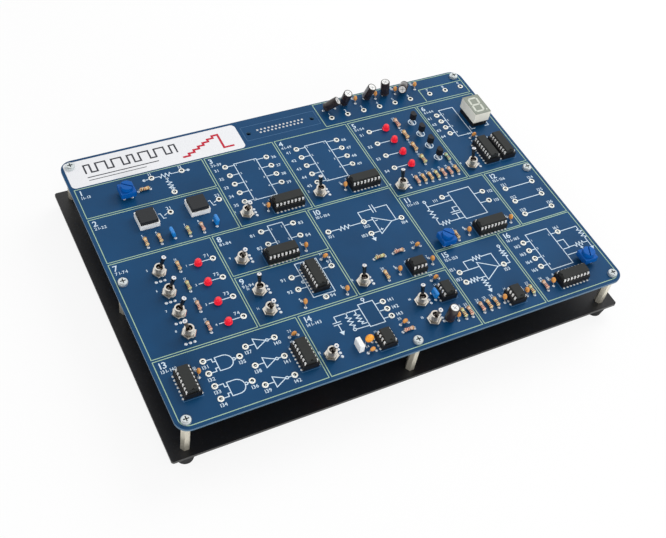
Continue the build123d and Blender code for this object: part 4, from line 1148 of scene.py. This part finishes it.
def terminal_pads():
    """The three pads beside each toggle."""
    pads = []
    reach, pitch, shift = 5.8, 2.6, -1.4
    for _, place, _, along_y in toggle_places():
        for step in (-1, 0, 1):
            if along_y:
                pads.append((place.x + reach, place.y + step * pitch))
            else:
                pads.append((place.x + shift + step * pitch, place.y - reach))
    return pads


class TRAINER_OT_solder(bpy.types.Operator):
    """Put solder at each lead, above and below the board"""

    bl_idname = "trainer.solder"
    bl_label = "Solder"

    def execute(self, context):
        radius = sizes().solder_radius / MM
        height = sizes().solder_height / MM
        slope = [(radius, 0.0), (radius, 0.05), (radius * 0.72, 0.16), (radius * 0.4, height * 0.75)]
        cone = lathe(slope + [(radius * 0.2, height), (0.0, height)], 10)
        blob = lathe(slope[:3] + [(radius * 0.45, 0.3), (0.0, 0.36)], 10)
        small = Matrix.Diagonal((0.8, 0.8, 1, 1))
        above = bmesh.new()
        leads = solder_places()
        for template, places in ((cone, leads), (blob, terminal_pads())):
            for x, y in places:
                stamp(above, template, moved(x, y, BOARD_TOP))
        for x, y, turn in connector_tails() + socket_pads():
            stamp(above, blob, moved(x, y, BOARD_TOP) @ turned(turn) @ small, slot=1)
        new_piece("solder_above", above, ["solder", "solder_dull"], smooth=50)
        chip_pins = [(place.x, place.y) for place in middles("socket_contacts") + middles("display_pins")]
        below = stamped(cone, [moved(x, y, BOARD_BOTTOM) @ turned(180, "X") for x, y in leads + chip_pins])
        new_piece("solder_below", below, ["solder"], smooth=50)
        return {"FINISHED"}


# How far a chip's pins stand apart, and how far their pads show beside the socket
PIN_PITCH, PAD_SHOWS = 2.54, 0.3


def socket_pads():
    """Where the ends of the chips' pads show at the long sides of the sockets, and their turns."""
    pads = []
    for low, high in islands("chip_sockets"):
        along_x = high.x - low.x > high.y - low.y
        length = max(high.x - low.x, high.y - low.y)
        for n in range(round(length / PIN_PITCH)):
            step = PIN_PITCH * (n + 0.5)
            if along_x:
                pads += [(low.x + step, y, 0) for y in (low.y - PAD_SHOWS, high.y + PAD_SHOWS)]
            else:
                pads += [(x, low.y + step, 90) for x in (low.x - PAD_SHOWS, high.x + PAD_SHOWS)]
    return pads


def connector_tails():
    """Where the connector's contacts come up through the board, with no turn."""
    return [
        ((low.x + high.x) / 2, low.y + (high.x - low.x) / 2, 0) for low, high in islands("connector_contacts")
    ]


class TRAINER_OT_jacks(bpy.types.Operator):
    """Make the test jacks, each a pale ring over a bore painted near black as shade"""

    bl_idname = "trainer.jacks"
    bl_label = "Test jacks"

    def execute(self, context):
        ring, bore, barrel = 1.9, 1.0, 1.5
        profile = [(0.0, -6.0), (bore, -6.0), (bore, 0.4), (bore + 0.1, 0.5), (ring - 0.2, 0.5)]
        profile += [(ring - 0.05, 0.43), (ring, 0.3), (ring, 0.0), (barrel, 0.0), (barrel, -6.5)]
        profile += [(barrel - 0.3, -6.8), (0.0, -6.8)]

        def part(radius, height):
            if height > 0.41 or (radius > barrel and height > 0.01):
                return 0
            # The bore's wall and floor take the finish painted near black as shade
            return 1 if radius < bore + 0.01 and height > -6.1 else 2

        places = [moved(place.x, place.y, BOARD_TOP) for place in middles("test_jacks")]
        mesh = stamped(lathe(profile, 20, part), places)
        piece = new_piece("jack_rings", mesh, ["jack_cream", "jack_bore", "jack_barrel"], smooth=40)
        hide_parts("test_jacks")
        return {"FINISHED"}


class TRAINER_OT_resistors(bpy.types.Operator):
    """Make the banded bodies of the resistors"""

    bl_idname = "trainer.resistors"
    bl_label = "Resistors"

    def execute(self, context):
        half, waist, end = 3.1, 0.98, 1.22
        profile = [(0.26, -half - 0.3), (0.36, -half), (0.95, -half + 0.12), (end, -half + 0.45)]
        profile += [(end, -half + 1.0), (waist + 0.06, -half + 1.4), (waist, -half + 1.8)]
        profile += [(radius, -height) for radius, height in reversed(profile)]
        template = lathe(profile, 14)
        mesh = bmesh.new()
        along, kind = [mesh.verts.layers.float.new(name) for name in ("along", "kind")]

        def add(matrix, colour):
            stamp(mesh, template, matrix, {along: lambda point: point.z, kind: float(colour)})

        for number, (low, high) in enumerate(islands("resistor_bodies")):
            size = high - low
            turn = turned(90, "Y") if size.x > size.y else turned(-90, "X")
            larger = 1.16 if low.z > BOARD_TOP + RAISED else 1.0
            add(moved(*((low + high) / 2)) @ turn @ Matrix.Scale(larger, 4), number * 7 % 5 % 3)
        x, y = LOOSE_RESISTOR
        axis = BOARD_TOP + 1.5
        add(moved(x, y, axis) @ turned(-90, "X"), 3)
        piece = new_piece("resistors", mesh, ["resistor_beige"], smooth=60)
        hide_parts("resistor_bodies")
        wires = bmesh.new()
        wire = 0.3
        rod = lathe([(0.0, -LEAD_REACH), (wire, -LEAD_REACH), (wire, LEAD_REACH), (0.0, LEAD_REACH)], 8)
        drop = lathe([(0.0, 0.0), (wire, 0.0), (wire, axis - BOARD_TOP), (0.0, axis - BOARD_TOP + wire)], 8)
        stamp(wires, rod, moved(x, y, axis) @ turned(90, "X"))
        for side in (-LEAD_REACH, LEAD_REACH):
            stamp(wires, drop, moved(x, y + side, BOARD_TOP))
        new_piece("loose_resistor_leads", wires, ["tinned"], smooth=40)
        return {"FINISHED"}


def dipped_template(radius, thickness):
    """A lens-shaped body in the YZ plane whose coating runs down at two leads."""
    mesh = bmesh.new()
    bmesh.ops.create_uvsphere(mesh, u_segments=16, v_segments=10, radius=1.0)
    for vert in mesh.verts:
        x, y, z = vert.co
        squared = 1.0 - 0.12 * abs(y * z)
        vert.co = (x * thickness / 2, y * radius * squared, z * radius * squared)
        run = max(0.0, -z - 0.45)
        leg = math.exp(-((abs(y) - 0.55) / 0.25) ** 2)
        vert.co.z -= run * leg * radius * 0.55
        vert.co.x *= 1.0 - 0.35 * run
    bmesh.ops.smooth_vert(mesh, verts=mesh.verts, factor=0.25, use_axis_x=True, use_axis_y=True, use_axis_z=True)
    return as_template(mesh)


class TRAINER_OT_capacitors(bpy.types.Operator):
    """Make the dipped bodies of the small capacitors"""

    bl_idname = "trainer.capacitors"
    bl_label = "Small capacitors"

    lean: bpy.props.FloatProperty(
        name="Lean", description="Lean of the bodies", default=math.radians(18), subtype="ANGLE"
    )

    def execute(self, context):
        small = dipped_template(1.85, 2.2)
        mesh = bmesh.new()
        for low, high in islands("ceramic_capacitors"):
            size = high - low
            turn = turned(90) if size.x > size.y else turned(math.degrees(self.lean), "Y")
            stamp(mesh, small, moved(*((low + high) / 2)) @ turn)
        piece = new_piece("ceramic_bodies", mesh, ["ceramic_tan"], smooth=80)
        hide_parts("ceramic_capacitors")
        disc = stamped(dipped_template(2.9, 4.2), [moved(*middles("disc_capacitor")[0]) @ turned(90)])
        piece = new_piece("disc_body", disc, ["disc_orange"], smooth=80)
        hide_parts("disc_capacitor")
        return {"FINISHED"}


class TRAINER_OT_electrolytics(bpy.types.Operator):
    """Make the sleeved cans with their bare ends and scored tops"""

    bl_idname = "trainer.electrolytics"
    bl_label = "Electrolytic capacitors"

    def execute(self, context):
        radius, tall, bare = 3.15, 11.0, 2.35
        profile = [(0.0, 0.25), (2.6, 0.25), (2.75, 0.0), (2.95, 0.05), (radius, 0.35), (radius, 1.1)]
        profile += [(2.9, 1.45), (2.9, 1.75), (radius, 2.1), (radius, tall - 0.5), (2.95, tall - 0.08)]
        profile += [(2.7, tall), (2.45, tall - 0.02), (bare, tall - 0.22), (0.0, tall - 0.22)]
        template = lathe(profile, 28, lambda r, h: 1 if h > tall - 0.4 and r < 2.42 else 0)
        mesh = bmesh.new()
        stripe = mesh.verts.layers.float.new("stripe")
        marks = {stripe: lambda point: float(abs(math.atan2(point.y, point.x)) < 0.5 and 0.3 < point.z < tall - 0.3)}
        score = bmesh.new()
        for size in ((3.6, 0.28, 0.06, 1), (0.28, 3.6, 0.06, 1)):
            bmesh.ops.create_cube(score, size=1, matrix=moved(0, 0, tall - 0.2) @ Matrix.Diagonal(size))
        bmesh.ops.bevel(score, geom=score.edges, offset=0.02, segments=1, profile=0.5, material=-1, affect="EDGES")
        marking = as_template(score)
        for centre, axis, spin in can_places():
            place = moved(*(centre - axis * tall / 2)) @ towards(axis) @ turned(spin)
            stamp(mesh, template, place, marks)
            stamp(mesh, marking, place, {stripe: 0.0}, slot=2)
        piece = new_piece("electrolytic_bodies", mesh, ["can_sleeve", "can_top", "can_score"], smooth=40)
        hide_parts("electrolytic_cans")
        return {"FINISHED"}


# The ways that the stripes of upright cans face in turn, and that of a leaning can
STRIPES = ((1.0, 0.2, 0.0), (0.9, 0.5, 0.0), (-1.0, 0.3, 0.0), (0.8, 0.6, 0.0))
AWAY = (0.3, 0.8, -0.4)
# Steps that bring a direction to the longest spread of a can's points
SPREAD_STEPS = 60


def stripe_turn(axis, way):
    """The turn about a can's axis that takes its stripe to face a way."""
    local = towards(axis).inverted() @ Vector(way)
    return math.degrees(math.atan2(local.y, local.x))


def can_places():
    """Each can's middle, its axis and its turn about it, from the spread of its solid's points."""
    points = [vert.co / MM for vert in NODES["electrolytic_cans"].data.vertices]
    places = []
    for number, (low, high) in enumerate(islands("electrolytic_cans")):
        own = [p for p in points if all(low[n] - SLACK < p[n] < high[n] + SLACK for n in range(3))]
        centre = sum(own, Vector()) / len(own)
        spread = Matrix([[sum((p - centre)[i] * (p - centre)[j] for p in own) for j in range(3)] for i in range(3)])
        axis = Vector((0.1, 0.1, 1.0)).normalized()
        for _ in range(SPREAD_STEPS):
            axis = (spread @ axis).normalized()
        if axis.z < 0:
            axis = -axis
        way = AWAY if axis.z < 0.9 else STRIPES[number % len(STRIPES)]
        places.append(((low + high) / 2, axis, stripe_turn(axis, way)))
    return places


class TRAINER_OT_toggles(bpy.types.Operator):
    """Make the threaded bushings and the levers of the toggles"""

    bl_idname = "trainer.toggles"
    bl_label = "Toggles"

    def execute(self, context):
        foot, lip, mouth, shelf = -1.6, 6.3, 1.89, 5.1
        profile = [(2.45, foot), (3.0, foot), (3.0, 2.2)]
        for turn in range(7):
            z = 2.3 + 0.55 * turn
            profile += [(3.0, z), (2.8, z + 0.16), (2.8, z + 0.24), (3.0, z + 0.4)]
        profile += [(3.0, lip - 0.15), (2.85, lip), (mouth + 0.15, lip), (mouth, lip - 0.2)]
        profile += [(mouth, shelf), (2.45, shelf), (2.45, foot)]
        # The mouth and shelf inside each bushing take the chrome painted dark as shade
        tube = lathe(profile, 28, lambda r, h: 1 if r < mouth + 0.05 or (r < 2.5 and h < shelf + 0.05) else 0)
        mesh = stamped(tube, [moved(place.x, place.y, BOARD_TOP) for _, place, _, _ in toggle_places()])
        piece = new_piece("threaded_bushings", mesh, ["nickel", "lever_chrome"], smooth=35)
        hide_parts("toggle_bushings")
        length, neck, tip = 10.8, 0.86, 1.4
        shaft = [(0.0, -9.0), (0.45, -9.0), (0.6, -8.8)] + arc(0, 0, 2.38, -74, 69, 13)
        shaft += [(neck, 2.4), (neck + 0.06, 3.0), (tip - 0.06, length - 1.4), (tip, length - 1.2)]
        shaft += [(tip + 0.03, length - 0.5), (tip - 0.1, length - 0.14), (tip - 0.4, length)]
        shaft += [(0.62, length - 0.04), (0.45, length - 0.3), (0.0, length - 0.35)]

        # The shaft takes the chrome painted dark as shade, the ball a painted highlight and the end a painted blue
        # reflection
        def part(radius, height):
            if height < length - 0.6:
                return 0
            return 2 if radius < 0.5 else 1

        lever = lathe(shaft, 20, part)
        for number, place, rest, _ in toggle_places():
            mesh = stamped(lever, [moved(*place) @ towards(rest)])
            name = f"toggle_lever_{number}"
            piece = new_piece(f"bat_{number}", mesh, ["lever_chrome", "lever_tip", "lever_end"], name, 40)
            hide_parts(name)
        return {"FINISHED"}


class TRAINER_OT_diodes(bpy.types.Operator):
    """Make the red lenses of the diodes"""

    bl_idname = "trainer.diodes"
    bl_label = "Diodes"

    def execute(self, context):
        boxes = islands("led_lenses")
        tall = boxes[0][1].z - boxes[0][0].z - 0.5
        ball, rim = 2.12, 2.45
        profile = [(0.0, 0.0), (rim - 0.15, 0.0), (rim, 0.12), (rim, 0.72), (rim - 0.12, 0.88), (ball, 0.9)]
        profile += arc(0, tall - ball, ball, 0, 75, 5) + [(0.0, tall)]
        places = [moved((low.x + high.x) / 2, (low.y + high.y) / 2, low.z) for low, high in boxes]
        mesh = stamped(lathe(profile, 20), places)
        piece = new_piece("diode_lenses", mesh, ["led_red"], smooth=40)
        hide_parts("led_lenses")
        return {"FINISHED"}


class TRAINER_OT_display(bpy.types.Operator):
    """Make the one-digit display with its seven bars and its point"""

    bl_idname = "trainer.display"
    bl_label = "Display"

    bar: length_choice("Bar", "Length of a bar of the digit", 0.0064)

    def execute(self, context):
        low, high = [Vector(corner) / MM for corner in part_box("display_body")]
        centre = (low + high) / 2
        mesh = bmesh.new()
        bmesh.ops.create_cube(mesh, size=1, matrix=moved(*centre) @ Matrix.Diagonal((*(high - low), 1)))
        upright = [edge for edge in mesh.edges if abs(edge.verts[0].co.z - edge.verts[1].co.z) > 1]
        bmesh.ops.bevel(mesh, geom=upright, offset=0.35, segments=2, profile=0.5, material=-1, affect="EDGES")
        top = [face for face in mesh.faces if face.normal.z > 0.9]
        for thickness, depth in ((0.35, 0.0), (0.08, -0.12)):
            bmesh.ops.inset_region(mesh, faces=top, thickness=thickness, depth=depth)
        piece = new_piece("display_case", mesh, ["display_grey"], smooth=30)
        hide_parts("display_body")
        self.make_bars(centre, high.z - 0.1)
        return {"FINISHED"}

    def make_bars(self, centre, level):
        """The seven slanted bars of the digit and its point."""
        bar = self.bar / MM
        half, wide = bar / 2 - 0.15, 0.72
        template = bmesh.new()
        outline = [(-half, 0), (-half + wide, wide), (half - wide, wide)]
        outline += [(-x, -y) for x, y in outline]
        add_plate(template, outline, 0, 0.12)
        shape = as_template(template)
        slant = math.tan(math.radians(4))
        lean = Matrix(((1, slant, 0, 0), (0, 1, 0, 0), (0, 0, 1, 0), (0, 0, 0, 1)))
        places = [(0, bar * n, 0) for n in (1, 0, -1)]
        places += [(side * bar / 2, row * bar / 2, 90) for row in (1, -1) for side in (-1, 1)]
        bars = bmesh.new()
        for x, y, turn in places:
            stamp(bars, shape, moved(centre.x - 0.5, centre.y, level) @ lean @ moved(x, y, 0) @ turned(turn))
        point = lathe([(0.65, 0.0), (0.65, 0.1), (0.5, 0.14), (0.0, 0.14)], 16)
        stamp(bars, point, moved(centre.x + bar / 2 + 1.2, centre.y - bar, level))
        new_piece("display_bars", bars, ["display_segment"])


class TRAINER_OT_chips(bpy.types.Operator):
    """Mark the first pin of each chip with a round dimple"""

    bl_idname = "trainer.chips"
    bl_label = "Chip marks"

    def execute(self, context):
        dimple = lathe([(0.62, 0.0), (0.62, 0.03), (0.5, 0.035), (0.4, 0.012), (0.0, 0.012)], 14)
        mesh = bmesh.new()
        for low, high in islands("chip_bodies"):
            along_x = high.x - low.x > high.y - low.y
            x, y = (low.x + 1.9, low.y + 1.7) if along_x else (high.x - 1.7, low.y + 1.9)
            stamp(mesh, dimple, moved(x, y, high.z - 0.005))
        new_piece("chip_marks", mesh, ["socket_black"], smooth=30)
        return {"FINISHED"}


# The share of its own light in how the camera sees the floor
FLOOR_GLOW = 0.86


class TRAINER_OT_stage(bpy.types.Operator):
    """Set the pale floor, the soft lights and the camera"""

    bl_idname = "trainer.stage"
    bl_label = "Stage"

    key: bpy.props.FloatProperty(name="Key light", description="Power of the large light", default=5.4, unit="POWER")
    fill: bpy.props.FloatProperty(name="Fill light", description="Power of the side light", default=8.0, unit="POWER")
    sky: bpy.props.FloatProperty(name="Sky", description="Strength of the light from all round", default=0.6)

    dark_side: bpy.props.FloatVectorProperty(
        name="Dark side",
        description="Way to the dark part of the room",
        default=(-0.55, -0.6, 0.58),
        subtype="DIRECTION",
    )

    def execute(self, context):
        self.make_floor()
        self.make_world(context)
        self.make_light("key_light", (0.62, 0.3, 0.75), 0.6, self.key)
        self.make_light("fill_light", (-0.5, -1.02, 0.42), 0.8, self.fill)
        self.make_camera(context)
        context.scene.view_settings.view_transform = "Standard"
        return {"FINISHED"}

    def make_floor(self):
        """A wide pale floor that keeps the module's shadow."""
        mesh = bmesh.new()
        bmesh.ops.create_grid(mesh, x_segments=1, y_segments=1, size=3.0)
        data = as_template(mesh, "floor")
        floor = bpy.data.objects.new("floor", data)
        bpy.context.scene.collection.objects.link(floor)
        finish = Finish("floor_pale", Base_Color=(0.9, 0.9, 0.9), Roughness=0.9)
        nodes, links = finish.tree.nodes, finish.tree.links
        blend = nodes.new("ShaderNodeMixShader")
        seen = finish.read("ShaderNodeLightPath", "Is Camera Ray")
        finish.plug(blend.inputs[0], seen * FLOOR_GLOW)
        links.new(finish.shader.outputs[0], blend.inputs[1])
        links.new(nodes.new("ShaderNodeEmission").outputs[0], blend.inputs[2])
        links.new(blend.outputs[0], nodes["Material Output"].inputs["Surface"])
        data.materials.append(finish.material)

    def make_world(self, context):
        """Even light from all round, white where it is seen, with a darker side in what metal shows."""
        world = bpy.data.worlds.new("studio")
        world.use_nodes = True
        context.scene.world = world
        nodes = Nodes(world.node_tree)
        background = nodes.tree.nodes["Background"]
        nodes.plug(background.inputs["Color"], (1, 1, 1))
        way = nodes.read("ShaderNodeTexCoord", "Generated")
        dark = nodes.read("ShaderNodeVectorMath", "Value", {0: way, 1: self.dark_side}, operation="DOT_PRODUCT")
        shades = {"Value": dark, "From Min": 0.35, "From Max": 0.85, "To Min": 1.0, "To Max": 0.2}
        room = nodes.read("ShaderNodeMapRange", 0, shades, interpolation_type="SMOOTHSTEP")
        glossy = self.choose(nodes, "Is Glossy Ray", self.sky, room)
        nodes.plug(background.inputs["Strength"], self.choose(nodes, "Is Camera Ray", glossy, 1.0))

    def choose(self, nodes, ray, without, with_it):
        """A number that is one value without a kind of ray and another with it."""
        share = nodes.read("ShaderNodeLightPath", ray)
        return nodes.read("ShaderNodeMix", 0, {0: share, 2: without, 3: with_it})

    def make_light(self, name, place, size, power):
        """A square soft light that points at the board and isn't mirrored in it."""
        light = bpy.data.lights.new(name, "AREA")
        light.size = size
        light.energy = power
        lamp = bpy.data.objects.new(name, light)
        lamp.location = place
        lamp.rotation_euler = (Vector((0, 0, 0.03)) - Vector(place)).to_track_quat("-Z", "Y").to_euler()
        lamp.visible_glossy = False
        bpy.context.scene.collection.objects.link(lamp)

    def make_camera(self, context):
        """The camera where the photograph was taken from."""
        right = Vector((0.8876187, -0.44255302, 0.12759257))
        down = Vector((-0.26928951, -0.72340048, -0.63574752))
        ahead = Vector((0.37365251, 0.52994205, -0.76127868))
        eye = Vector((-254.598, -362.515, 472.896 + BOARD_TOP)) * MM
        turn = Matrix((right, -down, -ahead)).transposed().to_4x4()
        camera = bpy.data.cameras.new("camera")
        camera.sensor_width = 36.0
        camera.lens = 55.705
        camera.clip_start = 0.01
        holder = bpy.data.objects.new("camera", camera)
        context.scene.collection.objects.link(holder)
        holder.matrix_world = Matrix.Translation(eye) @ turn
        context.scene.camera = holder


class TRAINER_PT_panel(bpy.types.Panel):
    """Lists the steps that dress the module"""

    bl_label = "Training module"
    bl_idname = "TRAINER_PT_panel"
    bl_space_type = "VIEW_3D"
    bl_region_type = "UI"
    bl_category = "Training module"

    def draw(self, context):
        layout = self.layout
        for group in (context.scene.module_colours, context.scene.module_sizes):
            for name in group.bl_rna.properties.keys():
                if name not in ("rna_type", "name"):
                    layout.prop(group, name)
        for operator in OPERATORS:
            layout.operator(operator.bl_idname)


OPERATORS = (
    TRAINER_OT_board,
    TRAINER_OT_printing,
    TRAINER_OT_numbers,
    TRAINER_OT_label,
    TRAINER_OT_solder,
    TRAINER_OT_jacks,
    TRAINER_OT_resistors,
    TRAINER_OT_capacitors,
    TRAINER_OT_electrolytics,
    TRAINER_OT_toggles,
    TRAINER_OT_diodes,
    TRAINER_OT_display,
    TRAINER_OT_chips,
    TRAINER_OT_stage,
)
CLASSES = (ModuleColours, ModuleSizes, *OPERATORS, TRAINER_PT_panel)


def register():
    for item in CLASSES:
        bpy.utils.register_class(item)
    bpy.types.Scene.module_colours = bpy.props.PointerProperty(type=ModuleColours)
    bpy.types.Scene.module_sizes = bpy.props.PointerProperty(type=ModuleSizes)


def unregister():
    del bpy.types.Scene.module_sizes
    del bpy.types.Scene.module_colours
    for item in reversed(CLASSES):
        bpy.utils.unregister_class(item)


def main():
    register()
    bpy.ops.trainer.board()
    bpy.ops.trainer.printing()
    bpy.ops.trainer.numbers()
    bpy.ops.trainer.label()
    bpy.ops.trainer.solder()
    bpy.ops.trainer.jacks()
    bpy.ops.trainer.resistors()
    bpy.ops.trainer.capacitors()
    bpy.ops.trainer.electrolytics()
    bpy.ops.trainer.toggles()
    bpy.ops.trainer.diodes()
    bpy.ops.trainer.display()
    bpy.ops.trainer.chips()
    bpy.ops.trainer.stage()


if __name__ == "__main__":
    main()
